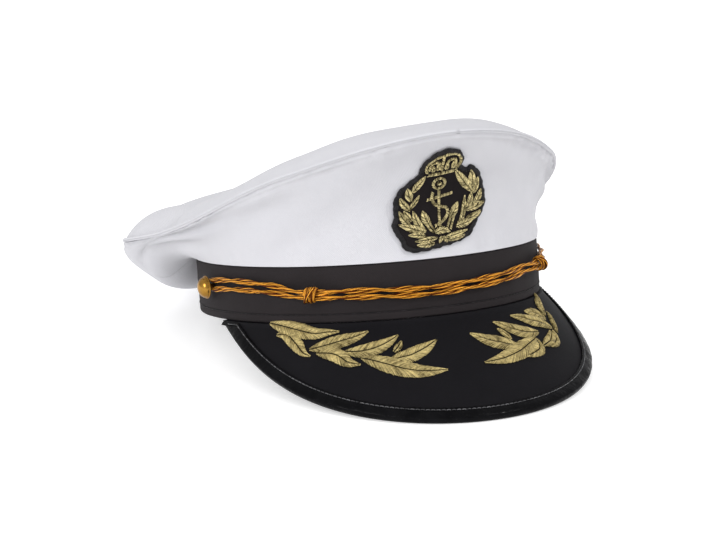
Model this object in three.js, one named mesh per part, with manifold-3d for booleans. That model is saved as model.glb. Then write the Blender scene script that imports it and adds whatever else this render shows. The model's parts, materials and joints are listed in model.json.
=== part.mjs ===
import * as THREE from 'three';
import { mergeVertices } from 'three/addons/utils/BufferGeometryUtils.js';
import Module from 'manifold-3d';

const wasm = await Module();
wasm.setup();

// All lengths are in millimetres and all angles in degrees.
// The cap is drawn with its head band level and centred on the origin, front towards -Y.
// Angles go round the head: 0 is the front, 90 the wearer's left ear, 180 the back.

// Head band
const bandWidth = 180;
const bandLength = 201;
const bandHeight = 28.5;
const bandWall = 2.4;

// Crown
const crownRise = 64.5;
const crownReach = 45;
const crownDome = 16.5;
const domeFlatness = 5.4;
const clothThickness = 1;
const footOverhang = 0.5;
const backSeamAngle = 124;
const weltDiameter = 2.4;
const seamInset = 1.75;
const foldDepth = 4.5;
const foldFade = 4;

// Visor
const visorLength = 67;
const visorHalfAngle = 83;
const visorCutAngle = 78.5;
const visorTaper = 1.28;
const visorDroop = 41.7;
const visorSideDroop = 12;
const visorThickness = 2;
const bindingWidth = 7.3;
const bindingWall = 0.9;
const bindingBead = 1.6;

// Side buttons
const buttonAngle = 87;
const buttonHeight = 16.7;
const buttonDiameter = 12;
const buttonDome = 4.2;
const buttonStandoff = 3.9;
const shankDiameter = 3.4;

// Gold chin cord
const strandDiameter = 2.7;
const strandStandoff = 2;
const knotWall = 2.1;
const knotLength = 8.4;
const knotHoleHeight = 6.9;
const bowSpread = 8;

// Badge on the front of the crown
const badgeHeight = 53.5;
const badgeFoot = 4.6;
const badgeThickness = 1.2;
const reliefHeight = 1.1;
const layerStep = 0.13;
const anchorHeight = 29;
const anchorWidth = 19.4;
const anchorBar = 1.5;
const ropeDiameter = 1.3;
const wreathWidth = 42;
const wreathHeight = 34;
const wreathLeafLength = 11;
const wreathLeafWidth = 4.2;
const badgeCrownWidth = 17;
const badgeCrownHeight = 10;

// Leaf sprigs on the visor
const sprigLength = 92;
const sprigRelief = 1.2;
const sprigStemWidth = 2.2;
const sprigShift = -4.5;

// Gap between pieces that touch
const clearance = 0.3;

// Edges shorter than this are merged where reliefs are joined
const joinTolerance = 0.04;

const rad = THREE.MathUtils.degToRad;
const cos = (angle) => Math.cos(rad(angle));
const sin = (angle) => Math.sin(rad(angle));
const lerp = THREE.MathUtils.lerp;

// Finishes
const whiteCloth = new THREE.MeshStandardMaterial({ color: 0xe6e5ee, roughness: 0.9, metalness: 0 });
const blackCloth = new THREE.MeshStandardMaterial({ color: 0x262326, roughness: 0.85, metalness: 0 });
const visorCloth = new THREE.MeshStandardMaterial({ color: 0x1b1b20, roughness: 0.8, metalness: 0 });
const blackVinyl = new THREE.MeshStandardMaterial({ color: 0x0c0c0e, roughness: 0.25, metalness: 0 });
const brass = new THREE.MeshStandardMaterial({ color: 0xd8a440, roughness: 0.25, metalness: 1 });
const orangeGoldCord = new THREE.MeshStandardMaterial({ color: 0xd98a1e, roughness: 0.5, metalness: 0.2 });
const paleGoldThread = new THREE.MeshStandardMaterial({ color: 0xc8b978, roughness: 0.5, metalness: 0.3 });

// Sections of the crown from the front round to the back, the same on both sides.
// reach: how far the edge seam stands out past the band, as a share of crownReach.
// rise: the seam's height over the band's top, as a share of crownRise.
// footLean and rimLean: the cloth's direction where it leaves the band and where it leaves the seam.
// footPull and rimPull: how far the cloth holds that direction, as a share of crownRise.
const crownSections = [
  { angle: 0, reach: 0.51, rise: 0.985, footLean: 108, footPull: 0.5, rimLean: -124, rimPull: 0.26 },
  { angle: 45, reach: 0.276, rise: 0.729, footLean: 90, footPull: 0.45, rimLean: -119, rimPull: 0.22 },
  { angle: 90, reach: 0.335, rise: 0.319, footLean: 65, footPull: 0.29, rimLean: -116, rimPull: 0.12 },
  { angle: 135, reach: 1.04, rise: 0.1, footLean: -71, footPull: 0.82, rimLean: -79, rimPull: 0.09 },
  { angle: 180, reach: 1, rise: -0.1, footLean: -70, footPull: 0.43, rimLean: -82, rimPull: 0.31 },
];

// Soft folds and dents in the crown's cloth.
// along: place on the cloth, 0 at the band, 1 at the edge seam and 2 at the middle of the top.
// wide and tall: the fold's half size round the head in degrees and along the cloth.
// depth: as a share of foldDepth, inwards, or outwards where it is negative.
// All folds fade out at the band and at the middle of the top, over a share of 1 / foldFade.
const crownFolds = [
  { angle: -103, along: 1.1, wide: 7, tall: 0.16, depth: 0.9 },
  { angle: -85, along: 0.72, wide: 26, tall: 0.16, depth: 0.5 },
  { angle: -118, along: 0.8, wide: 9, tall: 0.25, depth: -0.35 },
  { angle: 38, along: 0.8, wide: 16, tall: 0.14, depth: 0.4 },
  { angle: 96, along: 0.7, wide: 22, tall: 0.16, depth: 0.45 },
  { angle: 150, along: 0.65, wide: 14, tall: 0.2, depth: 0.4 },
  { angle: -158, along: 0.6, wide: 13, tall: 0.2, depth: 0.45 },
  { angle: -88, along: 1.4, wide: 30, tall: 0.22, depth: 0.8 },
  { angle: -118, along: 0.45, wide: 12, tall: 0.2, depth: 0.7 },
];

// Route of the chin cord round the band, from the wearer's right button to the left one.
// height: over the band's lower edge, spread: each strand's distance from the cord's middle line.
const cordRoute = [
  { angle: -84.5, height: 18.2, spread: 2.9 },
  { angle: -77, height: 18.9, spread: 2.8 },
  { angle: -69, height: 19, spread: 2.6 },
  { angle: -57, height: 17.8, spread: 2.3 },
  { angle: -50, height: 15.8, spread: 1.8 },
  { angle: -43, height: 14.9, spread: 1.5 },
  { angle: -36, height: 14.6, spread: 1.8 },
  { angle: -26.7, height: 14.3, spread: 2 },
  { angle: -19, height: 13.8, spread: 1.9 },
  { angle: -10, height: 13.3, spread: 2 },
  { angle: 0, height: 13.3, spread: 1.9 },
  { angle: 10.5, height: 14.2, spread: 2 },
  { angle: 21.3, height: 14.8, spread: 2 },
  { angle: 32.7, height: 16.4, spread: 1.9 },
  { angle: 43, height: 17.3, spread: 1.5 },
  { angle: 50, height: 17.8, spread: 1.8 },
  { angle: 57, height: 18.2, spread: 2.3 },
  { angle: 69, height: 18.9, spread: 2.6 },
  { angle: 77, height: 18.9, spread: 2.8 },
  { angle: 84.5, height: 18.2, spread: 2.9 },
];
const knotAngles = { cord_knot_right: -43, cord_knot_left: 43 };

// Outline of the badge round its middle: angle from straight up and distance as a share of the half height.
const badgeOutline = [
  { angle: 0, reach: 1.03 },
  { angle: 12, reach: 1.02 },
  { angle: 20, reach: 0.93 },
  { angle: 27, reach: 0.82 },
  { angle: 42, reach: 0.88 },
  { angle: 60, reach: 0.96 },
  { angle: 90, reach: 0.99 },
  { angle: 120, reach: 0.97 },
  { angle: 150, reach: 0.92 },
  { angle: 180, reach: 0.94 },
];

// Leaves of one half of the badge's wreath, along its arc from the bow at the bottom to the tip.
// turn: how far round the wreath the leaf starts, in degrees from the bottom.
// splay: the leaf's lean away from the arc, outwards where it is positive.
const wreathLeaves = [
  { turn: 14, splay: 24, size: 1.1 },
  { turn: 26, splay: -16, size: 0.95 },
  { turn: 40, splay: 30, size: 1.1 },
  { turn: 52, splay: -18, size: 1 },
  { turn: 64, splay: 30, size: 1.1 },
  { turn: 76, splay: -16, size: 1 },
  { turn: 88, splay: 30, size: 1.05 },
  { turn: 100, splay: -14, size: 1 },
  { turn: 112, splay: 28, size: 1 },
  { turn: 124, splay: -4, size: 1 },
];

// Leaves of one visor sprig on the visor's flat pattern, as shares of sprigLength.
// x is measured from the visor's middle line and y out from the band's front.
const sprigLeaves = [
  { x0: 0.92, y0: -0.34, x1: 0.6, y1: -0.1, width: 0.075 },
  { x0: 0.89, y0: -0.24, x1: 0.7, y1: -0.23, width: 0.045 },
  { x0: 0.9, y0: -0.23, x1: 0.82, y1: 0.01, width: 0.07 },
  { x0: 0.81, y0: -0.05, x1: 0.445, y1: -0.02, width: 0.09 },
  { x0: 0.77, y0: 0, x1: 0.57, y1: 0.19, width: 0.085 },
  { x0: 0.66, y0: 0.075, x1: 0.295, y1: 0.07, width: 0.09 },
  { x0: 0.45, y0: 0.22, x1: 0.3, y1: 0.12, width: 0.045 },
  { x0: 0.46, y0: 0.2, x1: 0.1, y1: 0.155, width: 0.1 },
  { x0: 0.57, y0: 0.14, x1: 0.115, y1: 0.37, width: 0.1 },
];
const sprigStem = [
  { x: 0.9, y: -0.25 },
  { x: 0.86, y: -0.13 },
  { x: 0.77, y: 0 },
  { x: 0.63, y: 0.1 },
  { x: 0.42, y: 0.21 },
];

// Value between the rows of a table by a smooth curve through them
function between(p0, p1, p2, p3, t) {
  const startSlope = (p2 - p0) / 2;
  const endSlope = (p3 - p1) / 2;
  const t2 = t * t;
  const t3 = t2 * t;
  return (2 * t3 - 3 * t2 + 1) * p1 + (t3 - 2 * t2 + t) * startSlope
    + (3 * t2 - 2 * t3) * p2 + (t3 - t2) * endSlope;
}

// Value of one column of the crown's table at any angle round the head
function crownValue(column, angle) {
  const step = crownSections[1].angle - crownSections[0].angle;
  const last = crownSections.length - 1;
  const place = Math.abs(angle) / step;
  const row = Math.min(Math.floor(place), last - 1);
  const value = (index) => crownSections[last - Math.abs(last - Math.abs(index))][column];
  return between(value(row - 1), value(row), value(row + 1), value(row + 2), place - row);
}

// Value of one column of an angle table, with smooth steps between rows
function tableValue(table, column, angle) {
  const next = Math.max(1, table.findIndex((row) => row.angle >= angle));
  const last = table.length - 1;
  const value = (index) => table[THREE.MathUtils.clamp(index, 0, last)][column];
  const share = (angle - table[next - 1].angle) / (table[next].angle - table[next - 1].angle);
  return between(value(next - 2), value(next - 1), value(next), value(next + 1), share);
}

// Outward direction of the band's oval outline
function bandNormal(angle) {
  return new THREE.Vector2(sin(angle) / bandWidth, -cos(angle) / bandLength).normalize();
}

// Point at an angle round the band, moved outward from its outline and up from its lower edge
function bandPoint(angle, outward, height) {
  const normal = bandNormal(angle);
  return new THREE.Vector3(
    bandWidth / 2 * sin(angle) + outward * normal.x,
    -bandLength / 2 * cos(angle) + outward * normal.y,
    height,
  );
}

// Depth of the crown's folds at one place on its cloth
function foldAt(angle, along) {
  let depth = 0;
  for (const fold of crownFolds) {
    const across = (angle - fold.angle) / fold.wide;
    const up = (along - fold.along) / fold.tall;
    depth += foldDepth * fold.depth * Math.exp(-across * across - up * up);
  }
  return depth;
}

// Edge seam of the crown, where the side wall and the top meet
function seamSection(angle) {
  return new THREE.Vector2(
    footOverhang + crownReach * crownValue('reach', angle),
    bandHeight + crownRise * crownValue('rise', angle),
  );
}

function seamPoint(angle) {
  const seam = seamSection(angle);
  return bandPoint(angle, seam.x - foldAt(angle, 1), seam.y);
}

// Side wall of the crown: share 0 at the band and 1 at the edge seam, depth is inwards from its outer face
function sidePoint(angle, share, depth) {
  const seam = seamSection(angle);
  const footLean = crownValue('footLean', angle);
  const rimLean = crownValue('rimLean', angle);
  const footLift = clearance + clothThickness * Math.max(0, -cos(footLean));
  const foot = new THREE.Vector2(footOverhang, bandHeight + footLift);
  const footHandle = new THREE.Vector2(cos(footLean), sin(footLean))
    .multiplyScalar(crownRise * crownValue('footPull', angle)).add(foot);
  const rimDirection = new THREE.Vector2(cos(rimLean), sin(rimLean));
  const rim = rimDirection.clone().multiplyScalar(seamInset).add(seam);
  const rimHandle = rimDirection.clone().multiplyScalar(crownRise * crownValue('rimPull', angle)).add(seam);
  const curve = new THREE.CubicBezierCurve(foot, footHandle, rimHandle, rim);
  const place = curve.getPoint(share);
  const along = curve.getTangent(share);
  const inward = depth + foldAt(angle, share) * Math.min(1, share * foldFade);
  return bandPoint(angle, place.x - along.y * inward, place.y + along.x * inward);
}

// Top of the crown: share 0 at its middle and 1 at the edge seam
function topPoint(angle, share, depth) {
  const front = seamPoint(0);
  const back = seamPoint(180);
  const middle = front.clone().add(back).multiplyScalar(0.5);
  const seam = seamPoint(angle);
  const reach = seam.distanceTo(middle);
  const out = share * (1 - seamInset / reach);
  const point = middle.clone().lerp(seam, out);
  const rimSlope = Math.atan2(crownDome * domeFlatness * Math.pow(out, domeFlatness - 1), reach);
  point.z += crownDome * (1 - Math.pow(out, domeFlatness));
  point.z -= foldAt(angle, 2 - out) * Math.min(1, out * foldFade);
  point.z -= depth / Math.cos(rimSlope);
  return point;
}

// Closed mesh from corner points and triangles, with its faces turned outwards
function solid(points, triangles) {
  let volume = 0;
  for (const [a, b, c] of triangles) {
    volume += points[a].dot(points[b].clone().cross(points[c]));
  }
  const faces = volume < 0 ? triangles.map(([a, b, c]) => [a, c, b]) : triangles;
  const geometry = new THREE.BufferGeometry();
  geometry.setAttribute('position', new THREE.Float32BufferAttribute(points.flatMap((p) => p.toArray()), 3));
  geometry.setIndex(faces.flat());
  const merged = mergeVertices(geometry, 1e-4);
  const kept = [];
  const index = merged.getIndex().array;
  for (let i = 0; i < index.length; i += 3) {
    const [a, b, c] = [index[i], index[i + 1], index[i + 2]];
    if (a !== b && b !== c && c !== a) kept.push(a, b, c);
  }
  merged.setIndex(kept);
  return merged;
}

// Wall between an outer and an inner face, each a function of two shares from 0 to 1.
// A looped wall goes all the way round, and a domed one closes at its first row.
function wall(columns, rows, face, { looped = false, domed = false } = {}) {
  const points = [];
  const triangles = [];
  const number = (i, j, inner) => ((looped ? i % columns : i) * (rows + 1) + j) * 2 + inner;
  const quad = (a, b, c, d) => triangles.push([a, b, c], [a, c, d]);
  for (let i = 0; i <= (looped ? columns - 1 : columns); i++) {
    for (let j = 0; j <= rows; j++) {
      points.push(face(i / columns, j / rows, false), face(i / columns, j / rows, true));
    }
  }
  for (let i = 0; i < columns; i++) {
    for (let j = 0; j < rows; j++) {
      quad(number(i, j, 0), number(i + 1, j, 0), number(i + 1, j + 1, 0), number(i, j + 1, 0));
      quad(number(i, j, 1), number(i, j + 1, 1), number(i + 1, j + 1, 1), number(i + 1, j, 1));
    }
    if (!domed) quad(number(i, 0, 0), number(i, 0, 1), number(i + 1, 0, 1), number(i + 1, 0, 0));
    quad(number(i, rows, 0), number(i + 1, rows, 0), number(i + 1, rows, 1), number(i, rows, 1));
  }
  if (!looped) {
    for (let j = 0; j < rows; j++) {
      quad(number(0, j, 0), number(0, j + 1, 0), number(0, j + 1, 1), number(0, j, 1));
      quad(number(columns, j, 0), number(columns, j, 1), number(columns, j + 1, 1), number(columns, j + 1, 0));
    }
  }
  return solid(points, triangles);
}

// Bar with the same many-cornered section at each station along it, closed by flat ends
function bar(stations, section, place) {
  const points = [];
  const triangles = [];
  const corners = section(0).length;
  for (let i = 0; i <= stations; i++) {
    for (const corner of section(i / stations)) points.push(place(i / stations, corner));
  }
  for (let i = 0; i < stations; i++) {
    for (let k = 0; k < corners; k++) {
      const a = i * corners + k;
      const b = i * corners + (k + 1) % corners;
      triangles.push([a, b, b + corners], [a, b + corners, a + corners]);
    }
  }
  for (const share of [0, 1]) {
    const outline = section(share);
    const first = share * stations * corners;
    const turned = THREE.ShapeUtils.isClockWise(outline) === (share === 0);
    for (const [a, b, c] of THREE.ShapeUtils.triangulateShape(outline, [])) {
      triangles.push(turned ? [first + a, first + b, first + c] : [first + a, first + c, first + b]);
    }
  }
  return solid(points, triangles);
}

// Solids for joining and cutting
function toManifold(geometry) {
  const plain = geometry.clone();
  plain.deleteAttribute('normal');
  plain.deleteAttribute('uv');
  const merged = mergeVertices(plain, 1e-4);
  return new wasm.Manifold(new wasm.Mesh({
    numProp: 3,
    vertProperties: new Float32Array(merged.getAttribute('position').array),
    triVerts: new Uint32Array(merged.getIndex().array),
  }));
}

function fromManifold(manifold) {
  const mesh = manifold.getMesh();
  const geometry = new THREE.BufferGeometry();
  geometry.setAttribute('position', new THREE.BufferAttribute(new Float32Array(mesh.vertProperties), 3));
  geometry.setIndex(new THREE.BufferAttribute(new Uint32Array(mesh.triVerts), 1));
  return geometry;
}

function join(geometries) {
  return fromManifold(geometries.map(toManifold).reduce((whole, next) => whole.add(next)).setTolerance(joinTolerance));
}

// Moves every corner of a flat relief onto a curved piece
function lay(geometry, place) {
  const position = geometry.getAttribute('position');
  const points = Array.from({ length: position.count }, (_, i) => (
    place(position.getX(i), position.getY(i), position.getZ(i))));
  const index = Array.from(geometry.getIndex().array);
  const triangles = Array.from({ length: index.length / 3 }, (_, i) => index.slice(3 * i, 3 * i + 3));
  return solid(points, triangles);
}

// Joins reliefs on a curved piece, each a little over the one before it as overlapping stitches are
function embroider(pieces, place) {
  return join(pieces.map((piece, index) => (
    lay(piece, (x, y, z) => place(x, y, z + layerStep * (index % 3))))));
}

// Embroidered leaf lying flat, ridged along its middle, widest nearer its root and pointed at both ends
function leaf(x0, y0, x1, y1, width, height, stations = 3) {
  const along = new THREE.Vector2(x1 - x0, y1 - y0);
  const across = new THREE.Vector2(-along.y, along.x).normalize();
  const section = (share) => {
    const swell = Math.max(0.08, Math.sin(Math.PI * Math.pow(share, 0.8)));
    return [[-1, 0], [1, 0], [0, lerp(0.5, 1, swell)]]
      .map(([x, y]) => new THREE.Vector2(x * swell * width / 2, y * height));
  };
  return bar(stations, section, (share, corner) => new THREE.Vector3(
    x0 + along.x * share + across.x * corner.x,
    y0 + along.y * share + across.y * corner.x,
    clearance + corner.y,
  ));
}

// Raised cord lying flat along a line of points
function flatCord(line, width, height, stations = 2 * (line.length - 1)) {
  const curve = new THREE.CatmullRomCurve3(line.map(([x, y]) => new THREE.Vector3(x, y, 0)));
  const section = () => [[-1, 0], [1, 0], [0.6, 1], [-0.6, 1]]
    .map(([x, y]) => new THREE.Vector2(x * width / 2, y * height));
  return bar(stations, section, (share, corner) => {
    const tangent = curve.getTangent(share);
    const across = new THREE.Vector2(-tangent.y, tangent.x).normalize();
    const middle = curve.getPoint(share);
    return new THREE.Vector3(
      middle.x + across.x * corner.x, middle.y + across.y * corner.x, clearance + corner.y);
  });
}

// Head band, an upright oval wall
function headBand() {
  return wall(48, 1, (round, up, inner) => bandPoint(360 * round, inner ? -bandWall : 0, bandHeight * up),
    { looped: true });
}

// Part of the crown's side wall between two angles
function crownSide(start, end, columns, rows) {
  return wall(columns, rows, (round, up, inner) => (
    sidePoint(wrap(lerp(start, end, round)), up, inner ? clothThickness : 0)));
}

function wrap(angle) {
  return THREE.MathUtils.euclideanModulo(angle + 180, 360) - 180;
}

function crownTop() {
  return wall(42, 5, (round, out, inner) => (
    topPoint(wrap(360 * round), Math.sqrt(out), inner ? clothThickness : 0)), { looped: true, domed: true });
}

function edgeWelt() {
  const line = new THREE.CatmullRomCurve3(
    Array.from({ length: 60 }, (_, i) => seamPoint(wrap(i * 6))), true,
  );
  return new THREE.TubeGeometry(line, 60, weltDiameter / 2, 5, true);
}

// Visor: its length and slope at an angle, and a point out along it and up from its middle face
function visorReach(angle) {
  return visorLength * Math.pow(cos(90 * angle / visorHalfAngle), visorTaper);
}

function slopingPoint(angle, out, up, slope) {
  const middle = -clearance - visorThickness / 2;
  return bandPoint(angle, out * cos(slope) + up * sin(slope), middle - out * sin(slope) + up * cos(slope));
}

function visorSlope(angle) {
  return visorDroop + visorSideDroop * sin(angle) ** 2;
}

function visorPoint(angle, out, up) {
  return slopingPoint(angle, out, up, out > 0 ? visorSlope(angle) : 0);
}

function visorPlate() {
  const edge = (angle) => visorReach(angle) - bindingBead - 2 * clearance;
  const rows = 5;
  return wall(36, rows, (round, out, lower) => {
    const angle = lerp(-visorCutAngle, visorCutAngle, round);
    const row = Math.round(out * rows);
    const place = row === 0 ? -bandWall : edge(angle) * (row - 1) / (rows - 1);
    return visorPoint(angle, place, lower ? -visorThickness / 2 : visorThickness / 2);
  });
}

// Folded binding round the visor's free edge, with a slot that takes the plate
function visorBinding() {
  const slot = visorThickness / 2 + clearance;
  const top = slot + bindingWall;
  const angleAt = (share) => lerp(-visorCutAngle, visorCutAngle, share);
  const section = (share) => {
    const angle = angleAt(share);
    const reach = visorReach(angle);
    const turn = (visorReach(angle + 1) - visorReach(angle - 1)) / 2;
    const round = bandPoint(angle - 0.5, reach * cos(visorDroop), 0)
      .distanceTo(bandPoint(angle + 0.5, reach * cos(visorDroop), 0));
    const width = Math.min(bindingWidth * Math.hypot(1, turn / round), reach - clearance);
    const inner = reach - width;
    return [
      [inner, slot], [inner, top], [reach - bindingBead * 0.7, top], [reach - bindingBead * 0.2, top * 0.62],
      [reach, 0], [reach - bindingBead * 0.2, -top * 0.62], [reach - bindingBead * 0.7, -top], [inner, -top],
      [inner, -slot], [reach - bindingBead, -slot], [reach - bindingBead, slot],
    ].map(([out, up]) => new THREE.Vector2(out, up));
  };
  return bar(36, section, (share, corner) => visorPoint(angleAt(share), corner.x, corner.y));
}

// Domed button on a short shank, standing out from the band
function sideButton() {
  const radius = buttonDiameter / 2;
  const profile = [
    [0, clearance], [shankDiameter / 2, clearance], [shankDiameter / 2, buttonStandoff],
    [radius * 0.86, buttonStandoff], [radius, buttonStandoff + 0.8],
  ];
  for (let step = 1; step <= 4; step++) {
    profile.push([radius * cos(22.5 * step), buttonStandoff + 0.8 + buttonDome * sin(22.5 * step)]);
  }
  profile[profile.length - 1][0] = 0;
  return new THREE.LatheGeometry(profile.map(([x, y]) => new THREE.Vector2(x, y)), 12);
}

// The cord lies close to the band and bows out where a knot is wound round it
const knotHole = strandDiameter / 2 + 2 * clearance;
const knotStandoff = knotHole + knotWall + clearance;

function cordStandoff(angle) {
  const near = Object.values(knotAngles).map((knot) => Math.exp(-(((angle - knot) / bowSpread) ** 4)));
  return lerp(strandStandoff, knotStandoff, Math.max(...near));
}

function cordPoint(row, side) {
  return bandPoint(row.angle, cordStandoff(row.angle), row.height + side * row.spread);
}

function strand(side) {
  const line = [];
  for (let i = 0; i < cordRoute.length - 1; i++) {
    for (const share of [0, 0.5]) {
      const angle = lerp(cordRoute[i].angle, cordRoute[i + 1].angle, share);
      line.push(cordPoint({
        angle,
        height: tableValue(cordRoute, 'height', angle),
        spread: tableValue(cordRoute, 'spread', angle),
      }, side));
    }
  }
  line.push(cordPoint(cordRoute[cordRoute.length - 1], side));
  const circle = new THREE.Shape();
  for (let corner = 0; corner < 6; corner++) {
    const x = strandDiameter / 2 * cos(60 * corner);
    const y = strandDiameter / 2 * sin(60 * corner);
    if (corner === 0) circle.moveTo(x, y);
    else circle.lineTo(x, y);
  }
  circle.closePath();
  return new THREE.ExtrudeGeometry(circle, {
    steps: 56, bevelEnabled: false, extrudePath: new THREE.CatmullRomCurve3(line),
  });
}

// Wound knot round both strands, a thick ring with an oval hole
function knot() {
  const profile = [];
  for (let step = 0; step <= 4; step++) {
    const turn = -90 + 45 * step;
    profile.push([knotHole + knotWall * Math.max(0.35, cos(turn)), knotLength / 2 * sin(turn)]);
  }
  return wall(12, profile.length - 1, (round, along, inner) => {
    const [radius, height] = profile[Math.round(along * (profile.length - 1))];
    const stretch = (knotHoleHeight / 2 - knotHole) * cos(360 * round);
    const reach = inner ? knotHole : radius;
    return new THREE.Vector3(reach * sin(360 * round), height, reach * cos(360 * round) + stretch);
  }, { looped: true });
}

// Front panel of the crown as a flat sheet: x across it, y up along it and z out from it
const panelRows = 120;
const panelLine = Array.from({ length: panelRows + 1 }, (_, i) => sidePoint(0, i / panelRows, 0));
const panelArc = [0];
for (let i = 1; i <= panelRows; i++) {
  panelArc.push(panelArc[i - 1] + panelLine[i].distanceTo(panelLine[i - 1]));
}

function panelPoint(x, y, z) {
  const next = Math.max(1, panelArc.findIndex((length) => length >= y));
  const line = panelLine[next - 1].clone().lerp(
    panelLine[next], (y - panelArc[next - 1]) / (panelArc[next] - panelArc[next - 1]));
  const angle = THREE.MathUtils.radToDeg(Math.asin(x / (bandWidth / 2 * -line.y / (bandLength / 2))));
  let low = 0;
  let high = 1;
  for (let i = 0; i < 24; i++) {
    const share = (low + high) / 2;
    if (sidePoint(angle, share, 0).z < line.z) low = share;
    else high = share;
  }
  return sidePoint(angle, low, -z);
}

// Visor's top as its flat pattern, a cone rolled out: x across it, y out from the band's front and z up from it
const patternRadius = (bandWidth + bandLength) / 4 / cos(visorDroop);

function patternPoint(x, y, z) {
  const radius = Math.hypot(x, y + patternRadius);
  const angle = THREE.MathUtils.radToDeg(Math.atan2(x, y + patternRadius)) / cos(visorDroop);
  return slopingPoint(angle, radius - patternRadius, visorThickness / 2 + z, visorSlope(angle));
}

// Upright block just larger than the band, which trims what would run in under it
function bandBlock() {
  const outline = new THREE.Shape();
  outline.absellipse(0, 0, bandWidth / 2 + 2 * clearance, bandLength / 2 + 2 * clearance, 0, 2 * Math.PI);
  return new THREE.ExtrudeGeometry(outline, { depth: 2 * bandHeight, bevelEnabled: false, curveSegments: 90 })
    .translate(0, 0, -bandHeight);
}

function badgeBacking() {
  const middle = badgeFoot + badgeHeight / 2;
  return wall(42, 3, (round, out, inner) => {
    const angle = 360 * round;
    const reach = tableValue(badgeOutline, 'reach', Math.abs(wrap(angle))) * badgeHeight / 2;
    const scallop = 1 + 0.025 * cos(angle * 14);
    const x = reach * scallop * out * sin(angle);
    const y = reach * scallop * out * cos(angle);
    return panelPoint(x, middle + y, clearance + (inner ? 0 : badgeThickness));
  }, { looped: true, domed: true });
}

const onBadge = (x, y, z) => panelPoint(x, y, clearance + badgeThickness + z);

// Half of the laurel wreath: leaves set along half an oval, on a stem
function badgeWreath(side) {
  const foot = badgeFoot + 6;
  const at = (turn) => [
    side * wreathWidth / 2 * sin(turn),
    foot + wreathHeight / 2 * (1 - cos(turn)),
  ];
  const pieces = [flatCord([8, 32, 56, 80, 104, 124].map(at), 1.6, reliefHeight * 0.8, 6)];
  for (const { turn, splay, size } of wreathLeaves) {
    const [x, y] = at(turn);
    const [aheadX, aheadY] = at(turn + 4);
    const heading = Math.atan2(aheadY - y, side * (aheadX - x)) - rad(splay);
    const length = wreathLeafLength * size;
    pieces.push(leaf(x, y, x + side * length * Math.cos(heading), y + length * Math.sin(heading),
      wreathLeafWidth * size, reliefHeight));
  }
  return embroider(pieces, onBadge);
}

// Anchor with its ring, stock, shank, curved arms and a rope round the shank
function badgeAnchor() {
  const foot = badgeFoot + 9;
  const ringRadius = anchorHeight * 0.12;
  const ringMiddle = foot + anchorHeight - ringRadius;
  const shankTop = ringMiddle - ringRadius;
  const ring = Array.from({ length: 9 }, (_, i) => [ringRadius * sin(45 * i), ringMiddle - ringRadius * cos(45 * i)]);
  const half = anchorWidth / 2;
  const arms = [-1, -0.62, 0, 0.62, 1].map((x) => [x * half, foot + 1 + anchorHeight * 0.36 * x * x]);
  const rope = [
    [-0.42, 0.7], [-0.3, 0.58], [0.12, 0.52], [0.42, 0.42], [0.4, 0.25], [0.1, 0.13], [-0.3, 0.07],
  ].map(([x, y]) => [x * half, foot + y * anchorHeight]);
  const pieces = [
    flatCord(ring, anchorBar, reliefHeight, 8),
    flatCord([[0, shankTop + 0.8], [0, foot + 8], [0, foot + 0.4]], anchorBar, reliefHeight),
    flatCord([[-half * 0.72, shankTop - 3], [0, shankTop - 3], [half * 0.72, shankTop - 3]], anchorBar, reliefHeight),
    flatCord(arms, anchorBar * 1.3, reliefHeight, 6),
    flatCord(rope, ropeDiameter, reliefHeight * 1.15, 9),
    leaf(0, foot - 1.6, 0, foot + 4, 9, reliefHeight * 1.1),
  ];
  for (const side of [-1, 1]) {
    const [x, y] = [side * half * 0.8, foot + 1 + anchorHeight * 0.2];
    pieces.push(leaf(x, y, side * half * 1.04, foot + anchorHeight * 0.52, 3.4, reliefHeight));
  }
  return embroider(pieces, onBadge);
}

// Small plain crown over the anchor: a base bar, five points and an arch
function badgeCrown() {
  const foot = badgeFoot + badgeHeight - 3 - badgeCrownHeight;
  const half = badgeCrownWidth / 2;
  const pieces = [
    flatCord([[-half * 0.86, foot + 0.8], [0, foot + 0.2], [half * 0.86, foot + 0.8]], 1.8, reliefHeight),
    flatCord([[-half, foot + 5], [-half * 0.6, foot + 8.2], [0, foot + 9.3], [half * 0.6, foot + 8.2],
      [half, foot + 5]], 1.3, reliefHeight),
  ];
  for (const point of [-1, -0.5, 0, 0.5, 1]) {
    const lean = point * half;
    pieces.push(leaf(lean * 0.8, foot + 0.4, lean, foot + 9.4 - 4 * point * point, 3.2, reliefHeight));
  }
  return embroider(pieces, onBadge);
}

// Laurel sprig on the visor, on one side of its middle line
function visorSprig(side) {
  const across = (x) => sprigShift + side * x * sprigLength;
  const pieces = [
    flatCord(sprigStem.map(({ x, y }) => [across(x), y * sprigLength]), sprigStemWidth, sprigRelief * 0.8),
  ];
  for (const { x0, y0, x1, y1, width } of sprigLeaves) {
    pieces.push(leaf(across(x0), y0 * sprigLength, across(x1), y1 * sprigLength,
      width * sprigLength, sprigRelief, 4));
  }
  const sprig = toManifold(embroider(pieces, patternPoint));
  return fromManifold(sprig.subtract(toManifold(bandBlock())).setTolerance(joinTolerance));
}

// Turns a piece drawn along +Y so that +Y points out from the band
function standOut(mesh, angle, outward, height) {
  const normal = bandNormal(angle);
  mesh.position.copy(bandPoint(angle, outward, height));
  mesh.rotation.z = Math.atan2(-normal.x, normal.y);
  return mesh;
}

const cap = new THREE.Group();

function addPiece(name, geometry, material, group = cap) {
  const mesh = new THREE.Mesh(geometry, material);
  mesh.name = name;
  group.add(mesh);
  return mesh;
}

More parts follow.
